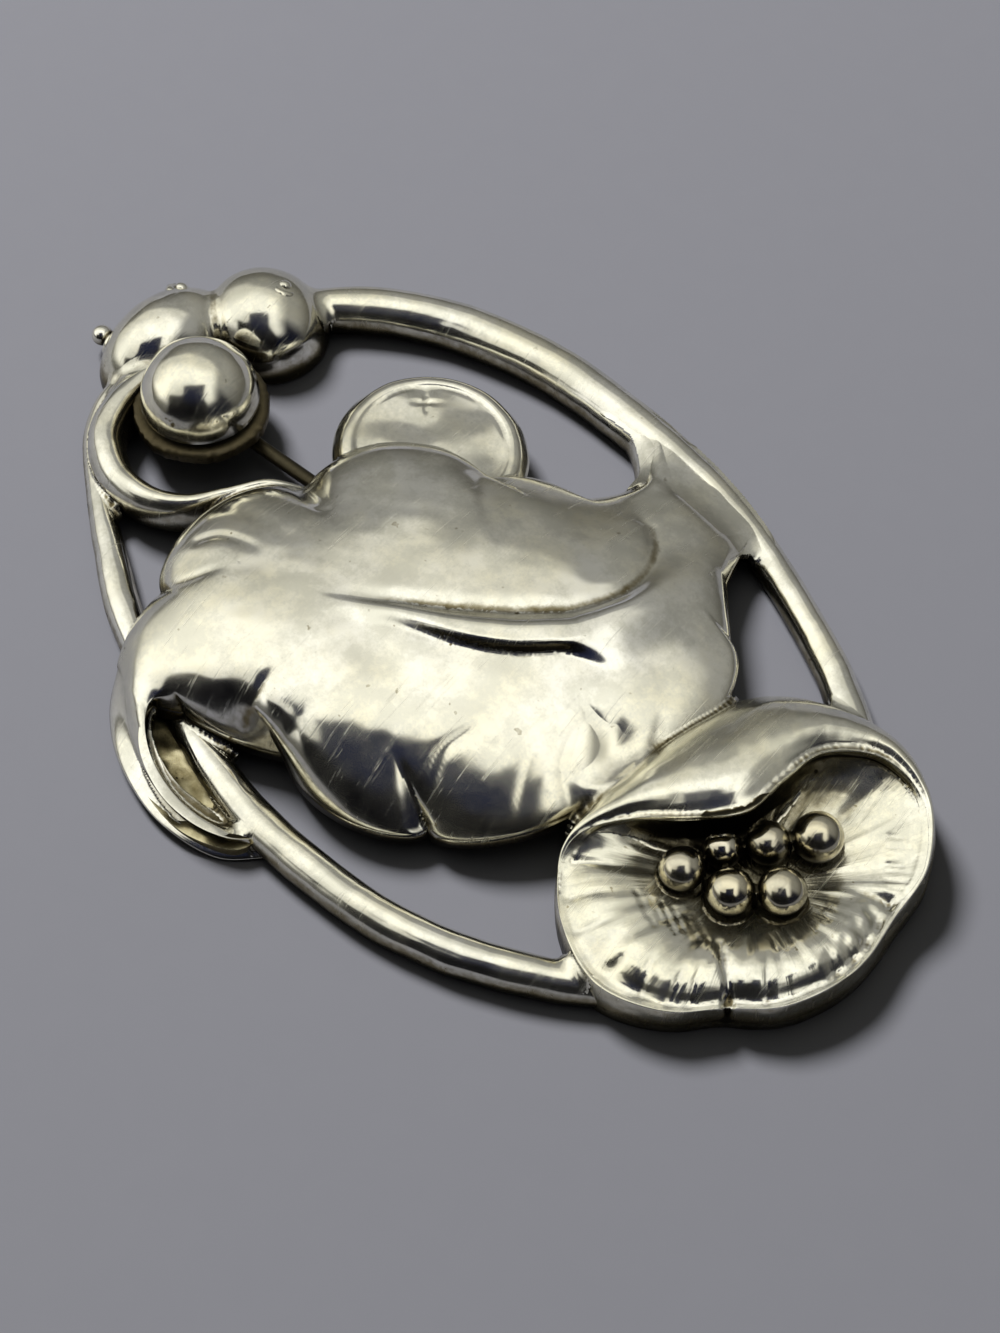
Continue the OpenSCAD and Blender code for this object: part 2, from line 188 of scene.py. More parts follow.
def silver(name, bright, film_and_shade_colour, black_tarnish_and_shade, gloss, added_darkness=0.0, wave=1.0, recess_darkening=1.0, satin=0.12, rays=None):
    """Worn silver: rubbed bright where it stands proud, with an olive film and black tarnish in recesses, and
    painted shade: the film and the black laid on where ambient occlusion finds recesses, on steep flanks and
    on the low parts near the table.
    """
    material = bpy.data.materials.new(name)
    n = Nodes(material)
    coordinates = n.add("TexCoord")
    place = coordinates.outputs["Object"]
    upright = n.dot(coordinates.outputs["Normal"], (0, 0, 1))
    level = n.dot(place, (0, 0, 1 / MM))
    open_sky = n.number("AmbientOcclusion", {"Distance": SKY_REACH * MM}, out=1, samples=5)
    patches = n.noise(place, 330.0, 5.0, 0.66)
    grit = n.noise(place, 2400.0, 3.0, 0.7)
    cloud = n.noise(place, 130.0, 5.0, 0.62).ramp(0.36, 0.66)
    blotch = n.noise(place, 300.0, 6.0, 0.76).ramp(0.4, 0.6)
    specks = n.noise(place, 1500.0, 2.0, 0.5).ramp(0.69, 0.75)
    # Ambient occlusion: painted shade in recesses and between parts, laid on as the olive film and the black.
    shut = (1.0 - open_sky).ramp(0.12, 0.85)
    # Painted shade: steep flanks that face down or sideways, and the parts lower than 1.8 mm near the table,
    # are darkened.
    steep = upright.ramp(0.68, 0.34)
    low = level.ramp(1.8, 0.5)
    # The share of film and black: real tarnish from the hollows, specks and patches, plus painted shade from
    # occlusion, steep flanks, low parts and each piece's stored shade mark.
    tarnish_and_shade = (
        shut * (1.25 * recess_darkening)
        + n.mark("cavity") * (0.75 * recess_darkening)
        + n.mark("sooted")
        + steep * 0.56
        + low * 0.5
        + specks * 0.55
        + (patches - 0.5) * 0.75
        + (grit - 0.5) * 0.45
        + (added_darkness - 0.26)
    ).clamp()
    film_and_shade = tarnish_and_shade.ramp(0.0, 0.62)
    sooted = tarnish_and_shade.ramp(0.5, 1.05)
    yellowed, greyed = ([c * k for c, k in zip(bright, tint)] for tint in (YELLOWED, GREYED))
    hazed = n.mix(blotch * 0.8, n.mix(cloud, bright, yellowed), greyed)
    colour = n.mix(sooted, n.mix(film_and_shade, hazed, film_and_shade_colour), black_tarnish_and_shade)
    scratches = 0.0
    for turn, fine, long in SCRATCHES:
        fine *= SCRATCH_SCALE
        lines = n.noise(n.stretched(place, (fine, fine / long, 300.0), (0, 0, turn)), 1.0, 2.0)
        scratches = lines.ramp(0.655, 0.7) + scratches
    scratches = scratches * patches.ramp(0.38, 0.52)
    cells = n.number("TexVoronoi", {"Vector": place, "Scale": 620.0, "Randomness": 1.0}, feature="F1")
    pits = cells.ramp(0.12, 0.03) * patches.ramp(0.6, 0.68)
    rough = gloss + (patches - 0.5) * 0.14 + cloud * 0.04 + blotch * 0.03
    rough = (rough + scratches * 0.1 + film_and_shade * 0.06 + sooted * 0.16).most(MOST_POLISHED)
    height = n.noise(place, 420.0, 2.0, 0.5) * (10.0 * wave) + patches * (2.2 * wave)
    height = height + grit * 0.8 - scratches * 2.2 - pits * 14.0
    if rays:
        off = n.add("VectorMath", {0: place, 1: [c * MM for c in rays]}, operation="SUBTRACT").outputs[0]
        x, y = (Number(n.tree, socket) for socket in n.add("SeparateXYZ", {0: off}).outputs[:2])
        away = n.number("VectorMath", {0: off}, out=1, operation="LENGTH")
        polar = n.add("CombineXYZ", {0: maths("ARCTAN2", y, x) * 16.0, 1: away * 150.0, 2: 0.0})
        height = height + n.noise(polar.outputs[0], 1.0, 3.0, 0.6) * n.mark("chased") * 26.0
    bump = n.add("Bump", {"Strength": 1.0, "Distance": 0.001 * MM, "Height": height}).outputs[0]
    haze = (satin + cloud * 0.08 + (patches - 0.5) * 0.4 + film_and_shade * 0.05).clamp()
    both = n.add("MixShader", {0: haze})
    for layer, roughness in ((1, rough), (2, (rough + HAZE_ROUGHER).least(MOST_HAZED))):
        inputs = {"Base Color": colour, "Metallic": 1.0, "Roughness": roughness, "Normal": bump}
        put(n.tree, both.inputs[layer], n.add("BsdfPrincipled", inputs).outputs[0])
    n.add("OutputMaterial", {"Surface": both.outputs[0]})
    return material


# Olive film and near-black: tarnish in hollows, and also painted shade on recesses, steep flanks and low
# parts.
OLIVE_FILM_AND_SHADE = (0.24, 0.2, 0.11)
BLACK_TARNISH_AND_SHADE = (0.022, 0.019, 0.013)
CLEAN = (0.95, 0.935, 0.87)
worn = silver("worn_silver", CLEAN, OLIVE_FILM_AND_SHADE, BLACK_TARNISH_AND_SHADE, 0.1)
polished = silver("rubbed_bright", CLEAN, OLIVE_FILM_AND_SHADE, BLACK_TARNISH_AND_SHADE, 0.07, wave=0.9, satin=0.02)
hammered = silver("hammered_leaf", CLEAN, OLIVE_FILM_AND_SHADE, BLACK_TARNISH_AND_SHADE, 0.12, wave=0.9, satin=0.05)
chased = silver(
    "chased_cup", (0.95, 0.935, 0.85), (0.36, 0.31, 0.18), BLACK_TARNISH_AND_SHADE, 0.15, wave=1.2, recess_darkening=0.9, rays=(23.6, -2, 0)
)
# The stamens' darker base and added darkness are painted shade and dark reflection on their lower halves.
beaded = silver("beaded", (0.74, 0.7, 0.6), OLIVE_FILM_AND_SHADE, BLACK_TARNISH_AND_SHADE, 0.08, added_darkness=0.26, recess_darkening=1.5, satin=0.02)
# Dark brown for the disc and the hinge ears: tarnish on the back, with painted shade under the domed berry.
tarnished_and_shaded = silver(
    "tarnished_shaded_back", (0.11, 0.092, 0.06), (0.12, 0.1, 0.055), BLACK_TARNISH_AND_SHADE, 0.34, added_darkness=0.34, recess_darkening=1.4
)
sunk = silver("sunk_floor", (0.78, 0.72, 0.5), (0.36, 0.3, 0.15), BLACK_TARNISH_AND_SHADE, 0.26, added_darkness=0.22, wave=2.5)
# Nearly black: the pin's dull wire with painted shade, as it lies in the brooch's shadow.
wire = silver("dull_shaded_wire", (0.08, 0.07, 0.048), (0.07, 0.057, 0.033), BLACK_TARNISH_AND_SHADE, 0.32, added_darkness=0.25)


# mesh helpers
def smooth(t):
    t = np.clip(t, 0.0, 1.0)
    return t * t * (3 - 2 * t)


def spline(rows, steps, closed=False):
    """A smooth curve through the rows of a table; every column is carried along."""
    rows = np.asarray(rows, float)
    n = len(rows)
    spans = n if closed else n - 1
    at = np.arange(spans * steps + (0 if closed else 1)) / steps
    i = np.minimum(at.astype(int), spans - 1)
    t = (at - i).reshape(-1, *[1] * (rows.ndim - 1))

    def pick(k):
        return rows[k % n] if closed else rows[np.clip(k, 0, n - 1)]

    a, b, c, d = pick(i - 1), pick(i), pick(i + 1), pick(i + 2)
    return 0.5 * (2 * b + (c - a) * t + (2 * a - 5 * b + 4 * c - d) * t**2 + (3 * b - a - 3 * c + d) * t**3)


def norm(v):
    return np.linalg.norm(v, axis=-1)


def unit(v):
    return v / np.maximum(norm(v)[..., None], 1e-6)


def bell(gap, half):
    """1 on a line and falling off smoothly beside it."""
    return np.exp(-((gap / half) ** 2))


def walked(line):
    """How far along a line each of its points lies."""
    return np.r_[0, np.cumsum(norm(np.diff(line, axis=0)))]


def off_line(points, line):
    """Distance of points from a line seen from above, plus on its left, and the share of the way along."""
    best = np.full(points.shape[:-1], 1e9)
    share = np.zeros(points.shape[:-1])
    left = np.ones(points.shape[:-1])
    line = np.asarray(line, float)[:, :2]
    lengths = walked(line)
    for k in range(len(line) - 1):
        run = line[k + 1] - line[k]
        off = points[..., :2] - line[k]
        t = np.clip(off @ run / (run @ run), 0, 1)
        gap = norm(off - t[..., None] * run)
        near = gap < best
        best = np.where(near, gap, best)
        left = np.where(near, np.sign(run[0] * off[..., 1] - run[1] * off[..., 0]), left)
        share = np.where(near, (lengths[k] + t * (lengths[k + 1] - lengths[k])) / lengths[-1], share)
    return best * left, share


WAVES = 14


def uneven(points, size, seed):
    """A smooth unevenness up and down by about 1, with bumps about this size across."""
    draw = np.random.default_rng(seed)
    total = 0
    for _ in range(WAVES):
        way = unit(draw.normal(size=points.shape[-1])) * 2 * math.pi / size * draw.uniform(0.6, 1.5)
        total = total + np.sin(points @ way + draw.uniform(0, 2 * math.pi))
    return total / math.sqrt(WAVES / 2)


def skin(rings):
    """Points and faces of a closed skin over a stack of equal rings."""
    rings = np.asarray(rings, float)
    m, n = rings.shape[:2]
    i, j = np.meshgrid(np.arange(m - 1), np.arange(n), indexing="ij")
    a = (i * n + j).ravel()
    b = (i * n + (j + 1) % n).ravel()
    faces = np.stack([a, b, b + n, a + n], 1).tolist()
    for k in range(n):
        faces.append([(k + 1) % n, k, n * m])
        faces.append([(m - 1) * n + k, (m - 1) * n + (k + 1) % n, n * m + 1])
    return np.vstack([rings.reshape(-1, 3), rings[0].mean(0), rings[-1].mean(0)]), faces


def joined(parts):
    """One list of points and faces from several skins."""
    points, faces, first = [], [], 0
    for p, f in parts:
        points.append(p)
        faces += [[first + v for v in face] for face in f]
        first += len(p)
    return np.vstack(points), faces


CAVITY_PASSES = 3
DEEPEST_BEND = 6
DARKEST_BEND = 2.5


def mark_cavities(mesh):
    """Store each point's hollowness, from -1 on a ridge to 1 in a groove, about 0.3 mm wide."""
    count = len(mesh.vertices)
    co, normal = np.empty((2, count * 3))
    mesh.vertices.foreach_get("co", co)
    mesh.vertices.foreach_get("normal", normal)
    co = co.reshape(-1, 3) / MM
    normal = normal.reshape(-1, 3)
    ends = np.empty(len(mesh.edges) * 2, np.int32)
    mesh.edges.foreach_get("vertices", ends)
    a, b = ends.reshape(-1, 2).T
    length2 = np.maximum(((co[a] - co[b]) ** 2).sum(1), 1e-4)
    ways = ((a, b), (b, a))
    total = sum(np.bincount(p, 2 * ((co[q] - co[p]) * normal[p]).sum(1) / length2, count) for p, q in ways)
    uses = np.maximum(sum(np.bincount(p, minlength=count) for p, _ in ways), 1)
    bend = np.clip(total / uses, -DEEPEST_BEND, DEEPEST_BEND)
    for _ in range(CAVITY_PASSES):
        around = sum(np.bincount(p, bend[q], count) for p, q in ways)
        bend = 0.4 * bend + 0.6 * around / uses
    attribute = mesh.attributes.new("cavity", "FLOAT", "POINT")
    attribute.data.foreach_set("value", np.clip(bend / DARKEST_BEND, -1, 1))


WORKED_SIZE = 3.2
FINER_SIZE = 0.36
FINER_DEPTH = 0.22


def worked(points, faces, seed, depth):
    """The skin's points moved a little in and out, as hand-worked metal is."""
    out = np.zeros_like(points)
    corners = np.array([f[:3] for f in faces])
    a, b, c = (points[corners[:, k]] for k in range(3))
    flat = np.cross(b - a, c - a)
    for k in range(3):
        np.add.at(out, corners[:, k], flat)
    finer = uneven(points, WORKED_SIZE * FINER_SIZE, seed + 50)
    lift = depth * uneven(points, WORKED_SIZE, seed) + depth * FINER_DEPTH * finer
    dented = points + unit(out) * lift[:, None]
    dented[:, 2] = np.maximum(dented[:, 2], np.minimum(points[:, 2], 0))
    return dented


SHAPES = {}


def piece(
    name, shape, finish=worn, node="openwork_front", slot="worn_silver", crease=60, dents=0.014, **marks
):
    """Make a piece, with each mark stored at its points, and keep its shape for the solder."""
    points, faces = shape
    points = np.asarray(points, float)
    fan = np.array([(f[0], f[k], f[k + 1]) for f in faces for k in range(1, len(f) - 1)])
    a, b, c = (points[fan[:, k]] for k in range(3))
    if np.einsum("ij,ij->i", a, np.cross(b, c)).sum() < 0:
        faces = [list(reversed(face)) for face in faces]
    if dents:
        points = worked(points, faces, len(SHAPES), dents)
    SHAPES[name] = (points, faces)
    mesh = bpy.data.meshes.new(name)
    mesh.from_pydata((points * MM).tolist(), [], faces)
    mesh.validate()
    mesh.shade_smooth()
    mesh.set_sharp_from_angle(angle=math.radians(crease))
    mark_cavities(mesh)
    for mark, values in marks.items():
        mesh.attributes.new(mark, "FLOAT", "POINT").data.foreach_set("value", values)
    mesh.materials.append(finish)
    thing = placed(name, mesh)
    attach(thing, "root")
    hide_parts(node)


# rails and stalk
# Columns of the rails and the stalk: x, y, z of the underside, width, height
UPPER_RAIL_H = 2.5
LOWER_RAIL_H = 2.1
UPPER_RAIL = [
    [-22.9, 11.6, 0, 2.6, 0.96], [-19.3, 14.9, 0, 3, 1], [-14.7, 17.3, 0, 3.1, 1],
    [-9, 18.6, 0, 3.1, 1], [-4, 18.7, 0, 3, 1], [2, 18.1, 0, 2.9, 1], [6.5, 17.3, 0, 2.6, 0.92],
    [10.2, 16.3, 0, 2.2, 0.8], [14.6, 14.3, 0, 2.1, 0.76], [18.8, 12, 0, 2.2, 0.76],
    [23, 8.8, 0, 2.4, 0.8],
]
LOWER_RAIL = [
    [-10.4, -12.9, 0, 1.6, 0.76], [-7.4, -14.1, 0, 1.9, 0.9], [-4, -15.2, 0, 2.2, 1],
    [0, -16.1, 0, 2.4, 1], [4.5, -16.4, 0, 2.4, 1], [9.2, -16.2, 0, 2.4, 1], [13.8, -15.1, 0, 2.4, 1],
    [18, -13.3, 0, 2.3, 1], [21.4, -11.2, 0, 2.2, 0.9],
]
LEFT_RAIL = [
    [-26.8, 1.2, 0, 1.5, 1.9], [-26.6, -0.8, 0, 1.5, 1.8], [-25.3, -3.2, 0, 1.4, 1.7],
    [-22.6, -5.6, 0, 1.5, 1.7], [-19.7, -7.8, 0, 1.8, 1.9], [-15.2, -10.9, 0, 2.1, 2],
    [-10.4, -13.3, 0, 1.9, 1.8],
]
STALK = [
    [-25.2, 1.9, 0.4, 2.2, 2.7], [-25.2, -0.8, 0.3, 2.3, 2.9], [-24.1, -3.2, 0.4, 2.3, 2.8],
    [-21.8, -4.7, 0.6, 2.2, 2.6], [-19.2, -4.9, 0.6, 2, 2.6], [-17, -3.9, 0.6, 1.7, 2.6],
    [-15.5, -1.9, 0.6, 1.3, 2.6], [-14, 0.2, 1, 1.1, 2.2], [-11.6, 1.2, 1.5, 1, 1.7],
]
# The upper rail's branch round the end of the opening, under the leaf's edge
BRANCH = [
    [-3.6, 18.7, 0, 1.6, 1.8], [-1.4, 18.4, 0, 2, 2.1], [0.9, 17.5, 0, 2.3, 2.35],
    [2.6, 15.8, 0, 2.3, 2.35], [2.9, 13.8, 0, 2.4, 2.3], [1.9, 11.7, 0, 2.3, 2.2],
    [0.1, 10.2, 0.2, 2, 2], [-2, 9.3, 0.8, 1.2, 1.4],
]
# Height of a rail's widest place, as a share of its own height
RAIL_MIDDLE = 0.4
RAIL_STEPS = 24


def rail(rows, tall=1.0, sides=36):
    """A round-backed rail with a flat underside."""
    path = spline(rows, RAIL_STEPS)
    along = unit(np.gradient(path[:, :2], axis=0))
    cut = math.asin(RAIL_MIDDLE / (1 - RAIL_MIDDLE))
    turn = np.linspace(-cut, math.pi + cut, sides + 1)
    x, y, z, wide, high = np.split(path, 5, axis=1)
    reach = np.cos(turn) * wide / 2
    rise = RAIL_MIDDLE + (1 - RAIL_MIDDLE) * np.sin(turn)
    rings = [x - along[:, 1:] * reach, y + along[:, :1] * reach, z + np.maximum(tall * high * rise, 0)]
    return skin(np.stack(rings, axis=2))


piece("upper_rail", joined([rail(UPPER_RAIL, UPPER_RAIL_H, 44), rail(BRANCH)]))
piece("lower_rail", rail(LOWER_RAIL, LOWER_RAIL_H, 44))
piece("left_rail", rail(LEFT_RAIL))
piece("stalk", rail(STALK))


# leaf
WALL = 0.9
LEAF_RUNGS = 40
# Columns: rung where the lobe starts, x, y, height of the edge, bulge of the lobe
LEAF_LEFT = [
    [0, 0.6, 18.3, 2.42, -0.3], [3, 2.5, 14.8, 2.3, -0.6], [7, -0.1, 10.9, 2.7, 0.8],
    [11, -3.8, 7.8, 4, 2.9], [21, -11.6, 0.9, 3.4, 2.6], [31, -13.2, -9.5, 3.1, 0.5],
    [40, -12.4, -14.2, 1.7, 0],
]
LEAF_RIGHT = [
    [0, 9.6, 16.5, 1.98, -0.1], [5, 10.8, 12, 2.7, 0], [8, 13.7, 8.6, 3.3, 2.3],
    [17, 13.8, -1.4, 2.9, 2.2], [24, 7.8, -10.8, 1.6, 1.9], [31, -1.1, -12.2, 1.9, 0.5],
    [37, -7.2, -14.2, 2.5, 0.1], [40, -8.7, -15, 2.7, 0],
]
# Columns: rung, swell of the leaf above the line between its edges
LEAF_SWELL = [[0, 0.0], [2, 0.5], [4, 1.1], [11, 2.1], [19, 3.3], [27, 3.7], [33, 2.9], [40, 1.3]]
# Columns of the leaf's valleys: x, y at the notch, x, y of the inner end, depth at the notch, half width
LEAF_VALLEYS = [
    [-13.1, -9.3, -8.2, -6.1, 0.26, 1.4], [-11.8, 0.9, -6.7, -0.9, 0.45, 1.4],
    [-4, 7.8, 3.1, 3.9, 0.35, 1.5], [-1.1, -12.3, 0.2, -6.7, 0.14, 1.4],
    [-4.4, -13.2, -2.5, -8.6, 0.2, 1.2], [8, -11.2, 6.8, -5.1, 0.16, 1.4],
    [13.8, -1.4, 10.8, 0.2, 0.08, 1.2],
]
# Columns of the curled lobe: x, y, z of the outer foot, x, y, z of the rim, swell between them
CURLED_LOBE = [
    [-12.4, -14.2, 1.7, -8.7, -15, 2.7, 1.3], [-11.1, -16.3, 1.1, -8.5, -16.3, 2.6, 1],
    [-8.8, -18.1, 0.8, -7.1, -17.7, 2.4, 0.55], [-5.6, -19.3, 0.7, -4.7, -18.7, 2.2, 0.3],
    [-2.8, -19.5, 0.6, -2.3, -18.8, 1.9, 0.22], [-0.4, -18.9, 0.2, -0.3, -18.2, 1.7, 0.18],
    [1.2, -17.6, 0.2, 0.8, -17.2, 1.4, 0.12], [1.9, -16.7, 0.2, 1.5, -16.4, 1, 0.08],
]
# Grooves cut in the leaf: depth, half width, and the x, y corners from the deep end
LEAF_GROOVES = [
    [0.12, 0.34, [(-12.9, -9.6), (-11.7, -8.8), (-10.8, -7.7), (-10, -6.6)]],
    [0.1, 0.36, [(-13.1, -6.4), (-12.2, -5.5), (-10.3, -5.1), (-8.8, -5.3)]],
    [0.1, 0.42, [(-11.8, 0.9), (-10.4, 0), (-8.5, -0.5), (-6.7, -0.9)]],
    [0.12, 0.48, [(-4, 7.7), (-2.8, 6.4), (-1.2, 5), (1, 4.2)]],
    [0.06, 0.36, [(-0.7, -12.1), (-0.6, -9.9), (-0.3, -8.4), (0.3, -6.5)]],
    [0.16, 0.34, [(-3.6, -12.8), (-3.5, -11.8), (-3.6, -10.6), (-3.4, -9.5)]],
    [0.11, 0.32, [(7.4, -11.2), (7, -9.8), (6.5, -7.7), (6.9, -6), (6.8, -4.7), (7.6, -2.7)]],
    [0.05, 0.42, [(13.5, -3.4), (12.8, -1), (11.8, 1.5)]],
    [0.05, 0.42, [(13.2, -5.2), (12, -4.1), (11.3, -2.4), (11, -0.3)]],
    [0.06, 0.42, [(11.9, -8), (10.9, -6), (10.3, -4.5), (10, -1.9)]],
    [0.05, 0.42, [(9.4, -8.6), (8.6, -6.4), (8.6, -5.1), (9.3, -2.2)]],
    [0.07, 0.32, [(14.4, -0.2), (14.3, 1.2), (13.6, 2.3)]],
    [0.06, 0.6, [(-13.6, -3.4), (-11, -3.2), (-7, -3.6)]],
    [0.06, 0.5, [(4.4, -12.4), (3.6, -9.8), (3.8, -7)]],
]
# The midrib's middle line runs down the leaf, so its upper side lies to the right of the run
MIDRIB_UPPER_SIDE = -1
# Columns of the raised midrib: x, y of its upper side, x, y of its lower side, height over the leaf, share of
# a steep lower wall
MIDRIB = [
    [1.5, 16.3, 9.2, 15.8, 0.03, 0], [3.3, 15.7, 10, 13.8, 0.1, 0], [5.5, 14.4, 10.6, 11.8, 0.22, 0],
    [7, 11.9, 10.8, 10, 0.38, 0], [7.8, 8.7, 10.3, 7.9, 0.5, 0], [7.8, 6.4, 9.8, 5.8, 0.52, 0],
    [7.2, 4.6, 9.2, 3.9, 0.55, 0], [6.5, 3.3, 8.7, 2.6, 0.58, 0.25], [6.2, 2.8, 8.3, 1.9, 0.62, 0.75],
    [5.5, 2.1, 7.6, 1, 0.66, 1], [3.9, 0.6, 6, -0.6, 0.66, 1], [2.2, -0.7, 4.1, -1.8, 0.6, 1],
    [0.9, -1.6, 2.3, -2.5, 0.46, 0.9], [-0.3, -2.3, 0.6, -3.1, 0.32, 0.8],
    [-1.6, -3.1, -0.9, -3.6, 0.2, 0.7], [-2.9, -3.9, -2.5, -4.4, 0.12, 0.5],
    [-5.9, -5.7, -5.8, -5.9, 0.04, 0.5],
]
# Columns of the right lip's rows: out past the edge and down through the wall, on the leaf, then on the curl
RIGHT_LIP = [[0.07, 0.5, 0.22, 0.6], [0.08, 0.12, 0.2, 0.12], [0.05, 0.03, 0.1, 0.02]]
# Columns of the left lip's rows: out past the edge, down through the wall
LEFT_LIP = [[0.05, 0.03], [0.08, 0.12], [0.07, 0.5]]
ALONG_STEPS = 6
ACROSS_STEPS = 250
UNDER_STEPS = 22
ROUNDNESS = 0.62
LOBE_RISE = 0.12
STEEP_RUNGS = (19, 38)
CURL_WALL = 0.8
CURL_SWELL = 0.4
# How dark the leaf's underside is made, and how much less dark the curl's top is made.
UNDERSIDE_DARKENING = 0.8
CURL_LESS_DARKENING = 0.45


def rounded(t):
    """A full round arch over the way from 0 to 1."""
    return np.power(np.clip(4 * t * (1 - t), 0, 1), ROUNDNESS)


def lobed_edge(rows, rungs, side):
    """One side of the leaf: its edge at each rung, bulged out between two notches."""
    rows = np.asarray(rows, float)
    i = np.clip(np.searchsorted(rows[:, 0], rungs, side="right") - 1, 0, len(rows) - 2)
    a, b = rows[i], rows[i + 1]
    t = (rungs - a[:, 0]) / (b[:, 0] - a[:, 0])
    out = unit(np.stack([b[:, 2] - a[:, 2], a[:, 1] - b[:, 1]], 1)) * side
    arch = rounded(t)
    flat = a[:, 1:3] + (b[:, 1:3] - a[:, 1:3]) * t[:, None] + out * (a[:, 4] * arch)[:, None]
    level = a[:, 3] + (b[:, 3] - a[:, 3]) * t + LOBE_RISE * np.maximum(a[:, 4], 0) * arch
    return np.column_stack([flat, level])


def valley_depth(points):
    depth = 0
    for x, y, inner_x, inner_y, deep, half in LEAF_VALLEYS:
        gap, share = off_line(points, [(x, y), (inner_x, inner_y)])
        depth = depth + deep * bell(gap, half) * smooth(1 - share)
    return depth


def groove_depth(points, grooves):
    depth = 0
    for deep, half, line in grooves:
        gap, share = off_line(points, spline(line, 6))
        depth = depth + deep * bell(gap, half) * smooth((1 - share) * 1.8)
    return depth


def midrib_height(points):
    """The raised band, softly risen and steep on its lower side, and how dark its two lines are painted:
    painted shade along the steep lower wall, and painted shade with tarnish in the groove beside its upper
    side.
    """
    rows = spline(MIDRIB, 8)
    middle = (rows[:, :2] + rows[:, 2:4]) / 2
    gap, share = off_line(points, middle)
    walk = walked(middle)
    walk /= walk[-1]
    half = np.interp(share, walk, norm(rows[:, 2:4] - rows[:, :2]) / 2)
    crest = np.interp(share, walk, rows[:, 4])
    steep = np.clip(np.interp(share, walk, rows[:, 5]), 0, 1)
    upper_side = gap * MIDRIB_UPPER_SIDE
    past = upper_side - half - 0.1
    rise = smooth((half - upper_side) / (half * 1.1 + 0.15))
    edge = -upper_side - half * (0.55 + 0.38 * steep)
    fall = 1 - smooth(edge / (0.34 + (1 - steep) * (1.4 + half)))
    wall = bell(edge - 0.26, 0.24) * steep * smooth((crest - 0.12) / 0.3)
    lined = bell(past, 0.36) * smooth(crest / 0.4)
    groove = 0.14 * bell(past, 0.55) * smooth(crest / 0.2)
    fade = smooth(share * 7) * smooth((1 - share) * 8)
    return (crest * rise * fall - groove) * fade, (wall * 0.9 + lined * 0.62) * fade


def eased_along(rows, reach):
    """A running mean down the first axis, with the ends held."""
    kernel = np.exp(-0.5 * (np.arange(-3 * reach, 3 * reach + 1) / reach) ** 2)
    kernel /= kernel.sum()
    padded = np.concatenate([np.repeat(rows[:1], 3 * reach, 0), rows, np.repeat(rows[-1:], 3 * reach, 0)])
    return sum(w * padded[k:k + len(rows)] for k, w in enumerate(kernel))


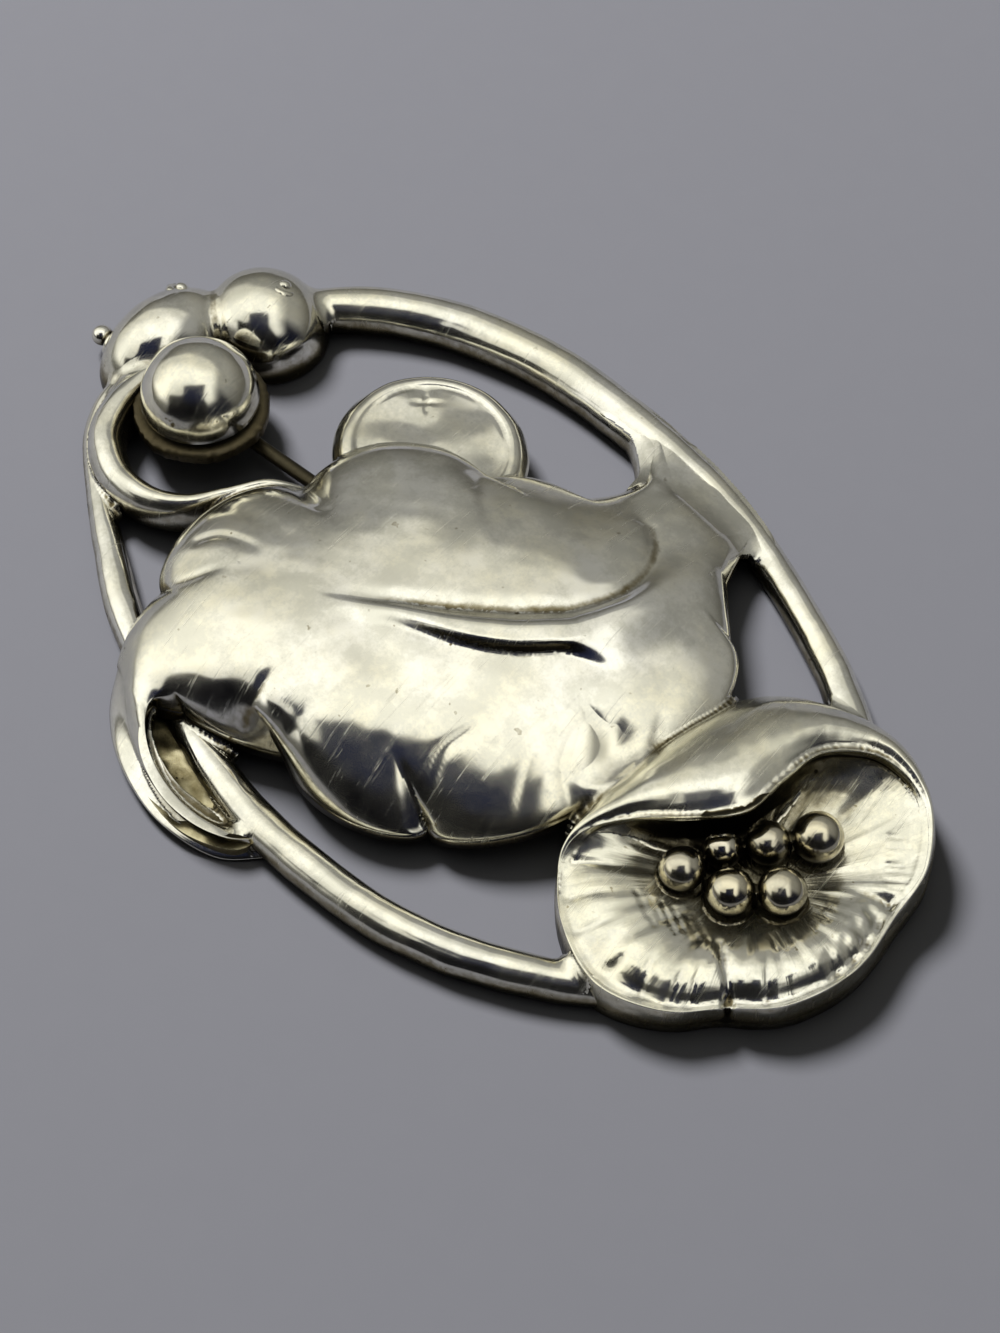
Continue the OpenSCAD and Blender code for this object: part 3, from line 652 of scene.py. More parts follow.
def leaf():
    """The sheet arched from edge to edge, with its lips and underside, and the tarnish and painted shade on
    it.
    """
    rungs = np.arange(0, LEAF_RUNGS, 1 / ALONG_STEPS)
    swell = spline(LEAF_SWELL, 40)
    curl = spline(CURLED_LOBE, 8)
    left = np.vstack([lobed_edge(LEAF_LEFT, rungs, 1), curl[:, :3]])
    right = np.vstack([lobed_edge(LEAF_RIGHT, rungs, -1), curl[:, 3:6]])
    bow = np.r_[np.interp(rungs, swell[:, 0], swell[:, 1]), curl[:, 6]]
    even = np.linspace(0, 1, ACROSS_STEPS + 1)
    across = even * 0.5 + (0.5 - 0.5 * np.cos(even * math.pi)) * 0.5
    chord = right - left
    sheet = left[:, None, :] + chord[:, None, :] * across[None, :, None]
    inner = smooth(np.minimum(across, 1 - across) / 0.22)[None, :, None]
    sheet = sheet * (1 - inner) + eased_along(sheet, 2 * ALONG_STEPS) * inner
    off_middle = np.maximum(2 * across - 1, 0)
    falling = 0.8 * (1 - off_middle**3.4) + 0.2 * np.sqrt(1 - off_middle**2)
    rung = np.arange(len(left)) / ALONG_STEPS
    lower = smooth((rung - STEEP_RUNGS[0]) / 6) * smooth((STEEP_RUNGS[1] - rung) / 6)
    round_side = rounded(across)
    profile = round_side + (np.where(across > 0.5, falling, round_side) - round_side) * lower[:, None]
    arch = bow[:, None] * profile
    curled = smooth((rung - LEAF_RUNGS) / 3)[:, None]
    quarter = chord[:, 2:] * (np.sin(across * math.pi / 2) - across)
    arch = arch * (1 - curled) + (quarter + arch * CURL_SWELL) * curled
    valleys = valley_depth(sheet)
    sheet[..., 2] += arch - valleys * smooth(arch / 0.8)
    level = norm(chord[:, :2])[:, None]
    outward = np.column_stack([chord[:, :2] / level, np.zeros(len(level))])
    down = unit(outward * (chord[:, 2:] / level) - (0, 0, 1)) * WALL * (1 + CURL_WALL * curled)
    under = sheet[:, np.linspace(0, ACROSS_STEPS, UNDER_STEPS).round().astype(int)] + down[:, None, :]
    # Painted shade along the midrib's steep wall and in the valleys, with tarnish and painted shade in the
    # grooves.
    band, black_tarnish_and_shade = midrib_height(sheet)
    grooves = groove_depth(sheet, LEAF_GROOVES)
    black_tarnish_and_shade = black_tarnish_and_shade + grooves * 1.6 + (valleys - 0.1) * 0.3
    blows = 0.022 * uneven(sheet[..., :2], 5.2, 11) + 0.004 * uneven(sheet[..., :2], 1.9, 12)
    top = sheet.copy()
    top[..., 2] += (band - grooves + blows) * smooth(arch / 0.5)
    right_lip = [
        top[:, -1] + outward * (o + (wide - o) * curled) + down * (d + (deep - d) * curled)
        for o, d, wide, deep in RIGHT_LIP
    ]
    left_lip = [top[:, 0] - outward * o + down * d for o, d in LEFT_LIP]
    rings = np.concatenate([top[:, ::-1], np.stack(left_lip, 1), under, np.stack(right_lip, 1)], axis=1)
    rings[..., 2] = np.maximum(rings[..., 2], 0)
    # Darkness at each point of the skin: the underside's darkening, the face's tarnish and painted shade,
    # less on the curl's top and more on its lip.
    sooted = np.full(rings.shape[:2], UNDERSIDE_DARKENING)
    sooted[:, :ACROSS_STEPS + 1] = (black_tarnish_and_shade * smooth(arch / 0.5) - CURL_LESS_DARKENING * curled)[:, ::-1]
    sooted[:, -len(right_lip):] += curled * 0.4
    return skin(rings), np.r_[sooted.ravel(), 0, 0]


leaf_shape, leaf_tarnish_and_shade = leaf()
piece("leaf", leaf_shape, hammered, crease=50, dents=0, sooted=leaf_tarnish_and_shade)


# turned pieces: berries, disc, grape, stamens
def turned(rows, sides=96, stretch=(1, 1), edge=None):
    """Rings from rows of radius and height; edge(angle) may change the radius."""
    rows = np.asarray(rows, float)
    angle = np.arange(sides) * 2 * math.pi / sides
    radius = rows[:, :1] * (edge(angle) if edge else np.ones(sides))
    height = rows[:, 1:] * np.ones(sides)
    x, y = radius * np.cos(angle) * stretch[0], radius * np.sin(angle) * stretch[1]
    return np.stack([x, y, height], axis=2)


def moved(rings, place, tilt=(0, 0, 0)):
    """The rings turned about X, then Y, then Z, and put in place."""
    rings = rings.copy()
    for axis, degrees in enumerate(tilt):
        c, s = math.cos(math.radians(degrees)), math.sin(math.radians(degrees))
        a, b = rings[..., (axis + 1) % 3].copy(), rings[..., (axis + 2) % 3].copy()
        rings[..., (axis + 1) % 3] = c * a - s * b
        rings[..., (axis + 2) % 3] = s * a + c * b
    return rings + np.asarray(place, float)


def arc(r, rise, level, first, last, count):
    """Rows of radius and height along an arc from the first angle to the last."""
    return [[r * math.cos(t), level + rise * math.sin(t)] for t in np.linspace(first, last, count)]


def dome_rows(r, h, edge, foot=0.94):
    """A dome's profile, with an upright edge below it."""
    rows = [[r * foot, 0], [r * 0.99, edge * 0.12], [r, edge * 0.4]]
    return rows + arc(r, h, edge, 0, math.pi / 2 - 0.02, 36)


def bud(place, r):
    """A small low bead in a shallow ring."""
    rows = [[r * 2.3, -0.6], [r * 2.2, -0.22], [r * 1.7, -0.08], [r * 1.35, -0.12], [r * 1.05, -0.12]]
    return skin(moved(turned(rows + arc(r, r * 0.75, 0, 0, 1.5, 14), 40), place, (-38, 0, 0)))


# Columns: name, x, y, radius, height, stretch along x, stretch along y, turn
BERRIES = [
    ["top_berry", -23.4, 9.9, 3.85, 4.4, 1.04, 1, 0],
    ["left_berry", -26.9, 4.9, 3.3, 4.1, 1, 1.46, -5],
]
BERRY_EDGE = 0.2
for name, x, y, r, h, wide, long, turn in BERRIES:
    rings = turned(dome_rows(r, h, BERRY_EDGE), stretch=(wide, long))
    piece(name, skin(moved(rings, (x, y, 0), (0, 0, turn))), polished)
piece("berry_buds", joined([bud((-22.7, 11.3, 4.1), 0.42), bud((-28.0, 7.6, 3.2), 0.4)]))


def jagged(angle):
    """The disc's rough edge: filed roughly round, with small uneven teeth."""
    teeth = sum(np.sin(angle * k + k * k) * 0.0035 for k in (23, 31, 38, 47, 59))
    return 1 + teeth + 0.015 * np.sin(angle * 3 + 1) + 0.008 * np.sin(angle * 7)


DOME = (-21.2, 2.1)
DISC_UNDER = 1.95
DOME_UNDER = 3.4
# Columns: radius, height
DISC = [[3.6, 0], [4.02, 0.06], [4.1, 0.3], [4.08, 0.72], [3.95, 0.86], [3.7, 0.93], [3.0, 1.0], [1.2, 1.04]]
NECK = [[2.45, 0.5], [2.45, 1.7]]
disc = moved(turned(spline(DISC, 4), 192, edge=jagged), (*DOME, DISC_UNDER))
dome = moved(turned(dome_rows(3.6, 3.52, 0.03, 0.96), 128), (*DOME, DOME_UNDER))
piece("berry_disc", skin(disc), tarnished_and_shaded)
piece("domed_berry", joined([skin(dome), skin(moved(turned(NECK, 64), (*DOME, DISC_UNDER)))]), polished)

GRAPE = (-8.3, 7.9)
GRAPE_TILT = (-3.5, 3, 3)
GRAPE_R = 5.0
STAR = (-2.2, 2.3)
STAR_DEPTH = 0.16
# Columns: share of the face's radius, height
GRAPE_RINGS = [
    [0.92, 1.5], [1.13, 1.9], [1.17, 2.6], [1.11, 3.15], [1.05, 3.5], [0.99, 3.66], [0.94, 3.66],
    [0.89, 3.56], [0.8, 3.56], [0.6, 3.66], [0.45, 3.72], [0.32, 3.76], [0.2, 3.78], [0.05, 3.8],
]


def grape():
    """The flat grape, with a rolled rim and a star struck into its face."""
    rings = turned(spline(GRAPE_RINGS, 7) * [GRAPE_R, 1], 200)
    off = rings[..., :2] - STAR
    spread = np.arctan2(off[..., 1], off[..., 0])
    face = smooth((0.9 * GRAPE_R - norm(rings[..., :2])) / 0.4) * (rings[..., 2] > 3.2)
    star = 0.22 + 0.5 * np.abs(np.cos(spread * 2 - 1.4)) ** 3
    rings[..., 2] -= face * STAR_DEPTH * bell(norm(off), star)
    rings[..., 2] += face * 0.05 * uneven(rings[..., :2], 4.4, 21)
    return skin(moved(rings, (*GRAPE, 0), GRAPE_TILT))


piece("grape", grape(), hammered, crease=70)

# Columns: x, y, radius as a share of the largest
STAMENS = [
    [20.4, -4.5, 0.96], [21.3, -2.1, 0.82], [23.2, -3.9, 1], [23, -0.3, 0.94], [24.9, 1.6, 1.08],
    [25.3, -2.1, 1.03],
]
STAMEN_R = 1.3
CUP_FLOOR = 2.1
CUP_MID = np.array([23.6, -2.0])
CUP_TILT = 0.06
AWAY = (-0.643, 0.766)


def cup_tilt(place):
    """How much higher the cup's floor lies here than at its middle: it rises away from the viewer."""
    off = place - CUP_MID
    return (off[..., 1] * AWAY[1] + off[..., 0] * AWAY[0]) * CUP_TILT


def stamen(x, y, share):
    r = STAMEN_R * share
    rows = [[r * 0.62, -0.3]] + arc(r, r, r * 1.05, -0.9, 1.53, 40)
    return skin(moved(turned(rows, 64), (x, y, CUP_FLOOR + cup_tilt(np.array([x, y])))))


piece("stamens", joined([stamen(*row) for row in STAMENS]), beaded)

# flower
# Columns, seen from above and anticlockwise from the lower left: x and y of the foot, x and y of the rim,
# height of the rim, how far the cup runs back under the rim, how much the cup rolls over before the rim
PETALS = [
    [14.9, -8.4, 15.1, -8.2, 2.8, 0, 0.5], [17.3, -10.9, 17.3, -10.7, 2.6, 0, 0.9],
    [20.8, -12.6, 20.9, -12.1, 2.5, 0, 1], [24.4, -11.5, 24.5, -11.2, 2.5, 0, 1],
    [26.8, -9.2, 26.9, -8.9, 2.3, 0, 1], [29.4, -7, 29.3, -6.8, 2.6, 0, 1],
    [31, -3.2, 30.8, -3, 2.7, 0, 0.9], [30.9, 0.9, 30.4, 1, 2.6, 0, 0.5],
    [30.5, 4.4, 30.2, 4.1, 3.2, 0, 0], [28.4, 7.8, 28, 6.9, 4, 0.3, 0], [24.6, 9.8, 25, 7.2, 4.9, 0.6, 0],
    [20.6, 9.5, 22.6, 5, 5.7, 0.9, 0], [16.8, 7.7, 22.1, 2, 6.2, 1.2, 0],
    [14.9, 4.2, 21.8, -0.8, 6.4, 1.4, 0], [14.1, 0.4, 19.8, -2.8, 6, 1.3, 0],
    [13.9, -3.4, 16.9, -4.5, 4.9, 0.8, 0], [14.1, -6.4, 15, -6.4, 3.8, 0.2, 0.1],
]
PETAL_STEPS = 22
FACE_STEPS = 9
# Columns: share of the way from foot to rim, share of the rim's height
FLANK = [
    [0, 0.3], [0.12, 0.58], [0.3, 0.84], [0.48, 0.98], [0.62, 1.04], [0.74, 1.05], [0.84, 1.01],
    [0.915, 0.965], [0.965, 0.96],
]
# Columns: share of the way from the cup's middle to the rim, share of the setback under the rim,
# height of the roll where the cup rolls over, drop inside the flat rim where it doesn't
CUP = [
    [0.985, 0.1, 0, 0], [0.96, 0.5, 0.03, 0.02], [0.93, 1, 0.22, 0.12], [0.885, 1, 0.66, 0.18],
    [0.835, 1, 1.03, 0.2], [0.77, 1, 1.22, 0.2], [0.7, 1, 1.24, 0.18], [0.6, 0.85, 1.06, 0.13],
    [0.48, 0.5, 0.68, 0.07], [0.34, 0.2, 0.25, 0.02], [0.18, 0, 0, 0],
]
# Creases of the cup: depth, half width, and the x, y corners from the rim inwards
CUP_CREASES = [
    [0.3, 0.3, [(27.2, -9), (26.2, -7.9), (24.8, -6.7), (23.4, -5.9)]],
    [0.28, 0.4, [(30.7, 1.1), (29.8, 1.4), (28.4, 0.8), (27.2, 0.2)]],
    [0.14, 0.26, [(22.9, -11.6), (22.6, -10.2), (22.2, -8.6)]],
    [0.14, 0.26, [(20.4, -12), (21.1, -11), (21.4, -9.4)]],
    [0.12, 0.22, [(24.6, -11), (24.2, -9.6), (23.7, -8)]],
    [0.1, 0.2, [(25.5, -10.4), (25, -9.2), (24.4, -7.8)]],
    [0.1, 0.22, [(18, -11), (18.9, -9.8), (19.8, -8.4)]],
    [0.1, 0.24, [(16.4, -9.6), (17.5, -8.6), (18.8, -7.4)]],
    [0.1, 0.2, [(28.6, -7.6), (27.6, -6.4), (26.6, -5.2)]],
    [0.08, 0.2, [(15.4, -7.6), (16.8, -6.8), (18.2, -6)]],
]
# Rows of short chased strokes: first x, y, last x, y, run of each stroke x, y, how many, depth, half width
STROKES = [
    [19.2, -7, 22.5, -5.8, 1.5, -0.9, 12, 0.045, 0.1], [27.6, 4.4, 29.3, 2, 0.9, 0.5, 7, 0.05, 0.11],
    [26.2, -4.4, 27.6, -0.8, 0.9, -0.5, 9, 0.04, 0.1], [23.9, -6.6, 25.2, -5.9, 0.5, -1.1, 5, 0.03, 0.08],
]
# Where the long dark dimples lie on the rolled rim: x, y of the outer end, x, y of the inner end
DIMPLES = [
    [30.6, -0.1, 28.8, 0.5], [30.8, -1.4, 28.9, -0.9], [30.8, -2.7, 29, -2.1], [30.6, -4.1, 28.9, -3.2],
]
DIMPLE_DEPTH = 0.16
DIMPLE_HALF = 0.38
SLOT = [(26.4, -8.1), (27.7, -9.9)]
SLOT_HALF = 0.2
SLOT_FLOOR = 0.8
# How many ripples go round the cup, and how high they are
RIPPLES = [(13, 0.03), (21, 0.024), (34, 0.018), (55, 0.008)]


def stroke_depth(points):
    """The chased strokes, each a little off its even place, length and depth."""
    depth = 0
    for x0, y0, x1, y1, run_x, run_y, count, deep, half in STROKES:
        for k in range(count):
            x = x0 + (x1 - x0) * k / (count - 1) + 0.07 * math.sin(k * 2.3)
            y = y0 + (y1 - y0) * k / (count - 1) + 0.05 * math.cos(k * 3.1)
            length = 1 + 0.18 * math.sin(k * 1.7)
            gap, _ = off_line(points, [(x, y), (x + run_x * length, y + run_y * length)])
            depth = depth + deep * (0.8 + 0.3 * math.sin(k * 2.9)) * bell(gap, half)
    return depth


def flower():
    """The flower's skin, how much tarnish and painted shade lies on it, and 1 where it is inside the cup."""
    columns = spline(PETALS, PETAL_STEPS, closed=True)
    foot, rim, high, setback = columns[:, :2], columns[:, 2:4], columns[:, 4], columns[:, 5]
    roll = np.clip(columns[:, 6], 0, 1)
    back = unit(foot - rim + unit(rim - CUP_MID) * 0.5) * setback[:, None]
    under = CUP_FLOOR - WALL
    ledge = (1 - roll) * (1 - smooth(setback / 0.3))

    def ring(place, level):
        return np.column_stack([place, level * np.ones(len(columns))])

    inward = unit(CUP_MID - foot)
    hidden = [
        *(ring(CUP_MID + (rim + back - CUP_MID) * share, under) for share in (0.2, 0.6)),
        ring(rim + back + unit(CUP_MID - rim) * 0.8, under + 0.1),
        ring(foot + (rim - foot) * 0.75 + inward * 0.4, np.maximum(high * 0.93 - WALL, under + 0.15)),
        ring(foot + (rim - foot) * 0.3 + inward * 0.7, np.maximum(high * 0.8 - WALL, under + 0.1)),
        ring(foot + inward * WALL, 0),
        ring(foot + inward * 0.06, 0),
        ring(foot, 0.06),
    ]
    flank = [ring(foot, high * FLANK[0][1])]
    broad = smooth(norm(rim - foot) / 3.0)
    for along, tall in FLANK[1:]:
        plain = min(tall, 1.0) if along < 0.8 else 1.0
        flank.append(ring(foot + (rim - foot) * along, high * (plain + (tall - plain) * broad)))
    flank.append(ring(rim, high))
    cup = []
    for share, shift, rolled, drop in CUP:
        place = CUP_MID + (rim - CUP_MID) * share
        level = CUP_FLOOR + (high - CUP_FLOOR) * share ** (1.8 + 4.5 * setback) + rolled * roll - drop * ledge
        cup.append(ring(place + back * shift, level + cup_tilt(place) * smooth((1 - share) / 0.25)))
    face = spline(np.stack(flank + cup), FACE_STEPS)
    off = face[..., :2] - CUP_MID
    ratio = norm(off) / norm(rim - CUP_MID)
    inside = np.zeros(face.shape[:2])
    inside[(len(flank) - 1) * FACE_STEPS:] = 1
    creases = groove_depth(face, CUP_CREASES) * smooth((1.02 - ratio) / 0.1)
    strokes = stroke_depth(face)
    dimples = 0
    for x0, y0, x1, y1 in DIMPLES:
        gap, share = off_line(face, [(x0, y0), (x1, y1)])
        dimples = dimples + DIMPLE_DEPTH * bell(gap, DIMPLE_HALF) * smooth((1 - share) * 3)
    angle = np.arctan2(off[..., 1], off[..., 0])
    ripple = sum(deep * np.sin(angle * count + count) for count, deep in RIPPLES)
    ripple = ripple * smooth((ratio - 0.35) / 0.3) * smooth((0.99 - ratio) / 0.08)
    edge_fade = smooth((1.0 - ratio) / 0.04)
    face[..., 2] -= (creases + (strokes + dimples) * edge_fade - ripple) * inside
    gap, share = off_line(face, SLOT)
    slot = bell(gap, SLOT_HALF) * smooth(share * 1.8) * (share < 1)
    face[..., 2] -= slot * np.maximum(face[..., 2] - SLOT_FLOOR, 0) * 0.85
    # Painted shade under the lip, deepest where the cup runs back under the rim, with tarnish and painted
    # shade in the creases, strokes and slot.
    shaded = smooth((ratio - 0.35) / 0.4) * smooth(setback / 0.9)
    black_tarnish_and_shade = (creases * 1.2 + strokes * 1.2 + 0.5 * shaded) * inside
    rest = np.zeros(len(hidden) * len(columns))
    marks = [np.r_[rest, mark.ravel(), 0, 0] for mark in (black_tarnish_and_shade + slot * 0.8, inside)]
    return skin(np.concatenate([np.stack(hidden), face])), *marks


flower_shape, flower_tarnish_and_shade, in_cup = flower()
piece("flower", flower_shape, chased, crease=55, dents=0.02, sooted=flower_tarnish_and_shade, chased=in_cup)


# solder
CELL = 0.07
NOTHING = -50.0
GRID_LOW = np.array([-32.0, -21.0])
GRID_COUNT = (910, 600)
BALL = 0.42
STAMEN_BALL = 0.16
SKIN_UNDER = 0.004
STEEPEST = 0.15
LOWEST_FILLET = 0.25
BEAD_SHADE = 0.35
INTO_METAL = 0.3
UNDER_SPAN = 0.5
SQUARE = ((0, 0), (1, 0), (1, 1), (0, 1))
# Columns of the places with a wider fillet: x, y, reach of the place, radius of the fillet, width of the
# smoothing, share of the tarnish and painted shade kept in the fillet
WIDE_FILLETS = [
    [0.6, 16.6, 3.2, 1.4, 0.6, 0], [5, 16.6, 3.6, 1.4, 0.7, 0], [8.2, 15.6, 3, 0.9, 0.7, 0],
    [-20.9, 13.2, 2.6, 1.4, 0.2, 0.5], [-25.4, 8, 2, 0.7, 0.1, 1], [-10.2, 0.9, 1.8, 0.9, 0.3, 0.3],
    [12.4, -1.8, 3, 1.5, 0.6, 0.3], [-25.9, 1.6, 2.4, 0.9, 0.2, 0.6], [1, -17.2, 1.6, 0.6, 0.15, 0.5],
    [20.5, -11.6, 2.4, 0.8, 0.15, 0.5], [22, 9.4, 2.6, 1, 0.25, 0.3],
]


def seen_from_above(name):
    """The height of a piece over each place of the grid."""
    points, faces = SHAPES[name]
    tree = BVHTree.FromPolygons(points.tolist(), faces)
    grid = np.full(GRID_COUNT, NOTHING)
    low = np.ceil((points.min(0)[:2] - GRID_LOW) / CELL).astype(int)
    high = np.floor((points.max(0)[:2] - GRID_LOW) / CELL).astype(int)
    down = Vector((0, 0, -1))
    for i in range(low[0], high[0] + 1):
        x = GRID_LOW[0] + i * CELL
        for j in range(low[1], high[1] + 1):
            hit = tree.ray_cast(Vector((x, GRID_LOW[1] + j * CELL, 20)), down)[0]
            if hit is not None:
                grid[i, j] = hit.z
    return grid


def rolled_over(grid, radius):
    """The heights after a ball of this radius has rolled over them, which rounds inner corners."""
    reach = int(radius / CELL)
    steps = [
        (i, j, math.sqrt(radius**2 - (i * i + j * j) * CELL**2))
        for i in range(-reach, reach + 1)
        for j in range(-reach, reach + 1)
        if (i * i + j * j) * CELL**2 < radius**2
    ]
    padded = np.pad(grid, 2 * reach, constant_values=NOTHING)

    def window(heights, i, j):
        return heights[reach + i:heights.shape[0] - reach + i, reach + j:heights.shape[1] - reach + j]

    over = window(padded, 0, 0).copy()
    for i, j, rise in steps:
        np.maximum(over, window(padded, i, j) + rise, out=over)
    under = window(over, 0, 0) - radius
    for i, j, rise in steps:
        np.minimum(under, window(over, i, j) - rise, out=under)
    return np.maximum(under, grid)


def smoothed(heights, width):
    """The heights averaged over this width, without the open places, and the share of solid around each."""
    reach = int(3 * width / CELL)
    weights = np.exp(-0.5 * (np.arange(-reach, reach + 1) * CELL / width) ** 2)
    solid = (heights > 0).astype(float)
    total = heights * solid
    for axis in (0, 1):
        total = sum(w * np.roll(total, k - reach, axis) for k, w in enumerate(weights))
        solid = sum(w * np.roll(solid, k - reach, axis) for k, w in enumerate(weights))
    return total / np.maximum(solid, 1e-6), solid


def solder():
    """A closed skin over the places where pieces meet, which fills the corners between them."""
    metal = np.max([seen_from_above(name) for name in SOLDERED], axis=0)
    filled = rolled_over(metal, BALL)
    lines = (GRID_LOW[k] + np.arange(GRID_COUNT[k]) * CELL for k in (0, 1))
    at = np.stack(np.meshgrid(*lines, indexing="ij"), -1)
    widened = np.zeros(GRID_COUNT)
    for x, y, reach, radius, width, darkened in WIDE_FILLETS:
        margin = reach + 2 * radius + 3 * width
        i, j = ((np.array([x, y]) - margin - GRID_LOW) / CELL).astype(int).clip(0)
        u, v = ((np.array([x, y]) + margin - GRID_LOW) / CELL).astype(int)
        part = filled[i:u, j:v]
        wide = np.maximum(rolled_over(metal[i:u, j:v], radius), part)
        share = smooth((1.25 - norm(at[i:u, j:v] - (x, y)) / reach) * 2)
        widened[i:u, j:v] = np.maximum(widened[i:u, j:v], share * (1 - darkened))
        inner, within = smoothed(wide, width)
        within = smooth((within - 0.72) / 0.26) * share
        for axis in (0, 1):
            for step in (-4, -2, 2, 4):
                within *= np.roll(wide > 0.4, step, axis)
        wide = wide + (np.maximum(inner, wide - 0.3) - wide + 0.012) * within
        filled[i:u, j:v] = np.where(wide > 0, part + (wide - part) * share, part)
    everything = np.maximum(metal, seen_from_above("stamens"))
    filled = np.maximum(filled, rolled_over(everything, STAMEN_BALL))
    by_beads = np.min([norm(at - (x, y)) - STAMEN_R * share for x, y, share in STAMENS], axis=0) < BEAD_SHADE
    hidden_by = np.maximum(seen_from_above("domed_berry"), seen_from_above("berry_disc"))
    shown = hidden_by < filled
    keep = (filled - everything > SKIN_UNDER * 1.2) & (filled > LOWEST_FILLET) & shown
    spread = keep.copy()
    for axis in (0, 1):
        for step in (-1, 1):
            spread |= np.roll(keep, step, axis) & (everything > NOTHING) & shown

    def corner(grid, i, j):
        return grid[i:grid.shape[0] - 1 + i, j:grid.shape[1] - 1 + j]

    heights = np.stack([corner(filled, i, j) for i, j in SQUARE])
    cell = np.all([corner(spread, i, j) for i, j in SQUARE], axis=0)
    cell &= heights.max(0) - heights.min(0) < STEEPEST
    used = np.zeros_like(spread)
    for i, j in SQUARE:
        corner(used, i, j)[...] |= cell
    number = np.full(GRID_COUNT, -1)
    count = used.sum()
    number[used] = np.arange(count)
    lowest = np.where(everything > NOTHING, np.minimum(everything, filled) - INTO_METAL, filled - UNDER_SPAN)
    top = np.column_stack([at[used], (filled - SKIN_UNDER)[used]])
    bottom = np.column_stack([at[used], np.maximum(lowest[used], 0.1)])
    a, b, c, d = (corner(number, i, j)[cell] for i, j in SQUARE)
    faces = np.stack([a, b, c, d], 1).tolist()
    faces += np.stack([d + count, c + count, b + count, a + count], 1).tolist()
    rims = ((a, b), (b, c), (c, d), (d, a))
    sides = dict.fromkeys(side for p, q in rims for side in zip(p.tolist(), q.tolist()))
    faces += [[q, p, p + count, q + count] for p, q in sides if (q, p) not in sides]
    # Darkening in the fillets and round the stamens' feet: tarnish in the joints, with painted shade between
    # the beads.
    dark = smooth((filled - metal - 0.02) / 0.16) * 0.42 * (1 - widened)
    dark = np.maximum(dark, 1.2 * by_beads)[used]
    return (np.vstack([top, bottom]), faces), np.r_[dark, dark]


SOLDERED = "upper_rail lower_rail left_rail stalk leaf top_berry left_berry grape flower".split()
solder_shape, solder_tarnish_and_shade = solder()
piece("solder", solder_shape, worn, crease=50, dents=0, sooted=solder_tarnish_and_shade)


# floor of the hollow, hinge ears
CURL_HOLLOW = [
    (-11.9, -14.7), (-10.6, -16.4), (-8.2, -17.9), (-5.1, -19.0), (-2.3, -19.2), (0.4, -18.1),
    (0.3, -16.2), (-3.8, -15.1), (-7.6, -14.1), (-10.2, -13.3),
]


def sunk_floor():
    """The floor of the hollow: a plate with a rough, uneven top."""
    outline = spline(CURL_HOLLOW, 8, closed=True)
    middle = outline.mean(0)
    rings = [np.insert(middle + (outline - middle) * 0.98, 2, 0.15, 1), np.insert(outline, 2, 0.2, 1)]
    for share in np.linspace(1, 0.04, 26):
        ring = middle + (outline - middle) * share
        rough = 0.06 * uneven(ring, 2.6, 31) + 0.025 * uneven(ring, 1.1, 32)
        rings.append(np.column_stack([ring, 1.0 + rough * smooth((1 - share) * 8)]))
    return skin(rings)


piece("hollow_floor", sunk_floor(), sunk, crease=40, dents=0)

HINGE_X = 18.0
KNUCKLE_R = 0.95
LUG_GAP = 1.6
PLAY = 0.12
PIN_R = 0.45
PIN_Y = 2.8
PIN_Z = 1.15
EAR_HALF = 0.35
EAR_TOP = 4.2
EAR_BEVEL = 0.08


def ear(side):
    """A rounded ear that hangs from under the flower, with its edges broken."""
    outline = arc(KNUCKLE_R, KNUCKLE_R, PIN_Z, 0, -math.pi, 24)
    outline = np.array([(KNUCKLE_R, EAR_TOP), *outline, (-KNUCKLE_R, EAR_TOP)])
    inset = outline + unit(outline.mean(0) - outline) * EAR_BEVEL
    broken = EAR_HALF - EAR_BEVEL
    levels = ((inset, -EAR_HALF), (outline, -broken), (outline, broken), (inset, EAR_HALF))
    middle = PIN_Y + side * (LUG_GAP / 2 + PLAY + EAR_HALF)
    points, faces = skin([np.insert(ring, 1, level, 1) for ring, level in levels])
    return points + (HINGE_X, middle, 0), faces


piece("hinge_ears", joined([ear(-1), ear(1)]), tarnished_and_shaded, crease=40)


# pin and catch
def lying(rings):
    """Turned rings laid along +X on the pin's line."""
    return skin(np.stack([rings[..., 2], PIN_Y + rings[..., 0], PIN_Z - rings[..., 1]], axis=-1))


# Columns: radius, height over the middle
KNUCKLE = [[0.95, 0.7], [0.93, 0.77], [0.85, 0.8], [0.3, 0.8]]
# Columns of the pin and the catch: radius, x
PIN = [[0.02, -28.19], [0.12, -28.1], [0.22, -27.7], [0.33, -27.2], [0.41, -26.7]]
PIN += [[PIN_R, -26.2], [PIN_R, 17.8]]
CATCH = [[0.57, -28.65], [0.57, -26.25], [0.62, -26.2], [0.94, -26.2], [1.0, -26.27], [1.0, -29.45]]
CATCH += [[0.96, -29.55], [0.8, -29.6], [0.42, -29.62], [0.4, -29.8], [0.42, -30.0]]
CATCH += arc(0.65, -0.65, -30.5, -0.86, 1.5, 24)
knuckle = turned([[r, -h] for r, h in KNUCKLE[::-1]] + KNUCKLE, 64)[..., [0, 2, 1]] + (HINGE_X, PIN_Y, PIN_Z)
piece("pin", joined([skin(knuckle), lying(turned(spline(PIN, 6), 40))]), wire, "pin_stem", "pin_wire")
piece("catch_tube", lying(turned(CATCH, 64)), worn, "catch", "catch_silver", crease=40)


# table and light
TABLE_HALF = 2.0
TABLE_UNDER = 0.02


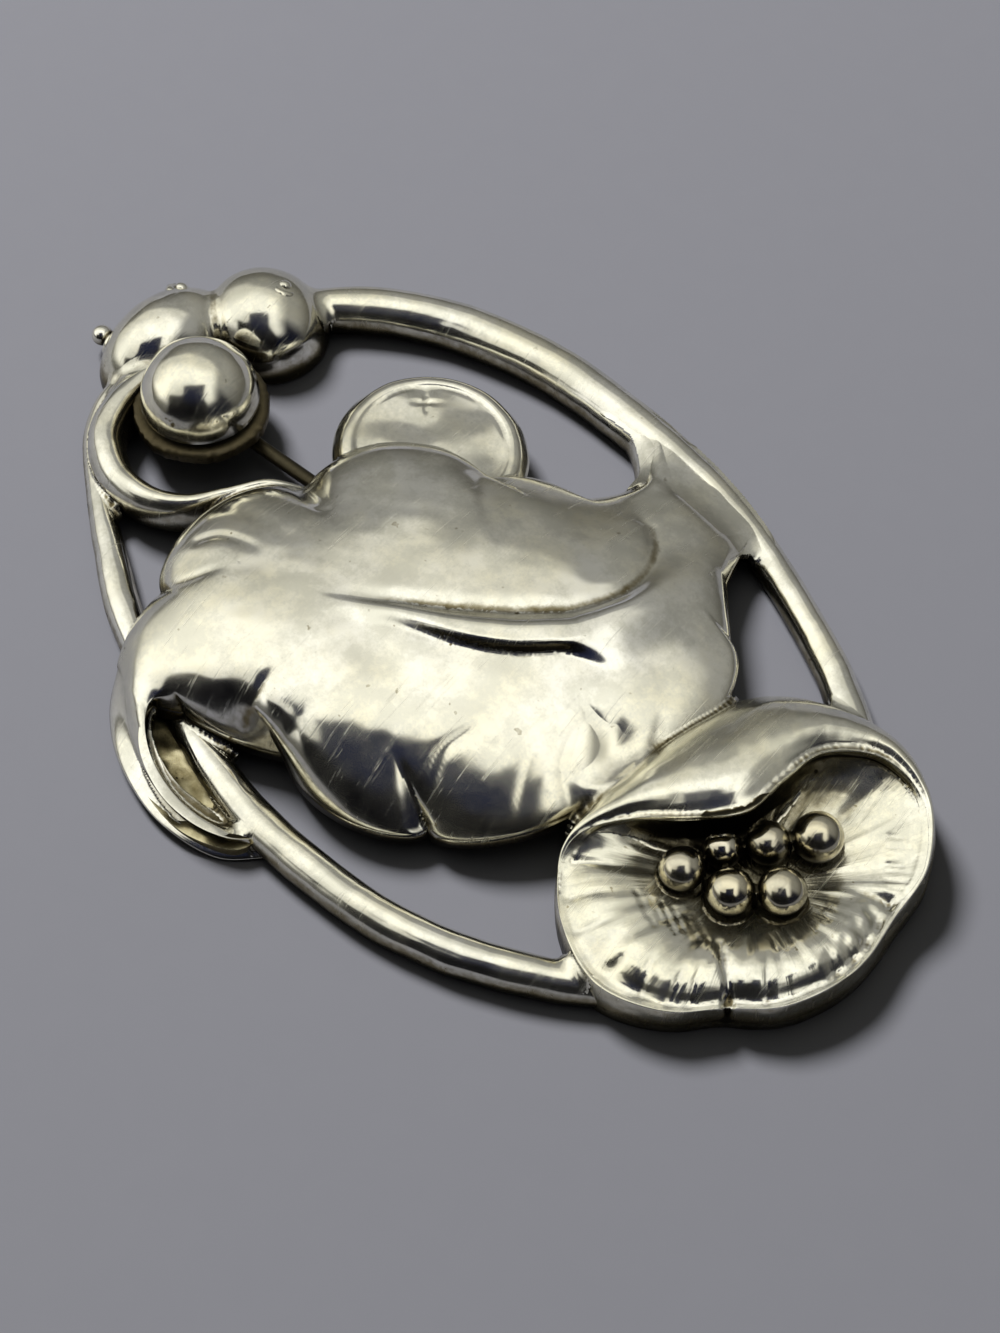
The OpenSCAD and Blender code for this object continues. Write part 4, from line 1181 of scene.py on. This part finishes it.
def make_table():
    material = bpy.data.materials.new("pale_table")
    n = Nodes(material)
    grain = n.noise(n.add("TexCoord").outputs["Object"], 500.0, 3.0)
    tone = n.mix(grain * 0.3, (0.086, 0.088, 0.102), (0.096, 0.098, 0.112))
    shader = n.add("BsdfPrincipled", {"Base Color": tone, "Roughness": 0.55}).outputs[0]
    n.add("OutputMaterial", {"Surface": shader})
    corners = [((2 * i - 1) * TABLE_HALF, (2 * j - 1) * TABLE_HALF, -TABLE_UNDER * MM) for i, j in SQUARE]
    mesh = bpy.data.meshes.new("table")
    mesh.from_pydata(corners, [], [(0, 1, 2, 3)])
    mesh.materials.append(material)
    placed("table", mesh)


def make_room():
    """A wide pale light over the near side, a grey far side, and the viewer's dark figure in the light."""
    world = bpy.data.worlds.new("room")
    bpy.context.scene.world = world
    n = Nodes(world)
    place = n.add("TexCoord").outputs["Generated"]
    right, near, up = facing(0, 90), facing(0, 0), Vector((0, 0, 1))
    toward = n.dot(place, near * 0.8 - right * 0.35 + up * 0.5)
    beside = n.dot(place, right)
    before = n.dot(place, near)
    level = n.dot(place, up)
    light = toward.ramp(-0.3, -0.12) * (level - before * 0.3 - beside * 0.12).ramp(0.2, 0.42)
    light = light * (0.72 - beside).ramp(0.0, 0.35)
    core = toward.ramp(-0.05, 0.4) * toward.ramp(0.95, 0.55)
    pale = n.mix(core, (0.72, 0.71, 0.64), (1.25, 1.24, 1.14))
    lower = level.ramp(0.8, 0.5)
    centre = beside + 0.1 + lower * 0.12
    half_width = 0.34 + lower * 0.26
    figure = (half_width - maths("ABSOLUTE", centre)).ramp(-0.02, 0.04) * before.ramp(0.2, 0.28)
    shade = n.mix(level.ramp(0.55, 0.85), (0.003, 0.003, 0.004), (0.01, 0.013, 0.036))
    grey = n.mix(level.ramp(-0.1, 0.6), (0.08, 0.076, 0.064), (0.29, 0.29, 0.275))
    grey = n.mix(before.ramp(0.1, 0.45) * beside.ramp(-0.9, -0.7), grey, (0.007, 0.008, 0.016))
    lit = n.mix(figure, n.mix(light, grey, pale), shade)
    seen = n.mix(n.number("LightPath", out=2) * 0.93, lit, (0, 0, 0))
    n.add("OutputWorld", {"Surface": n.add("Background", {"Color": seen, "Strength": 1.0}).outputs[0]})


def make_window():
    data = bpy.data.lights.new("window", "AREA")
    data.shape = "DISK"
    data.size = 0.22
    data.energy = 18.2
    data.color = (1.0, 0.98, 0.94)
    window = placed("window", data)
    look_back(window, facing(48, -148), 0.7)
    window.visible_glossy = False


bpy.context.scene.view_settings.view_transform = "Standard"
make_table()
make_room()
make_window()
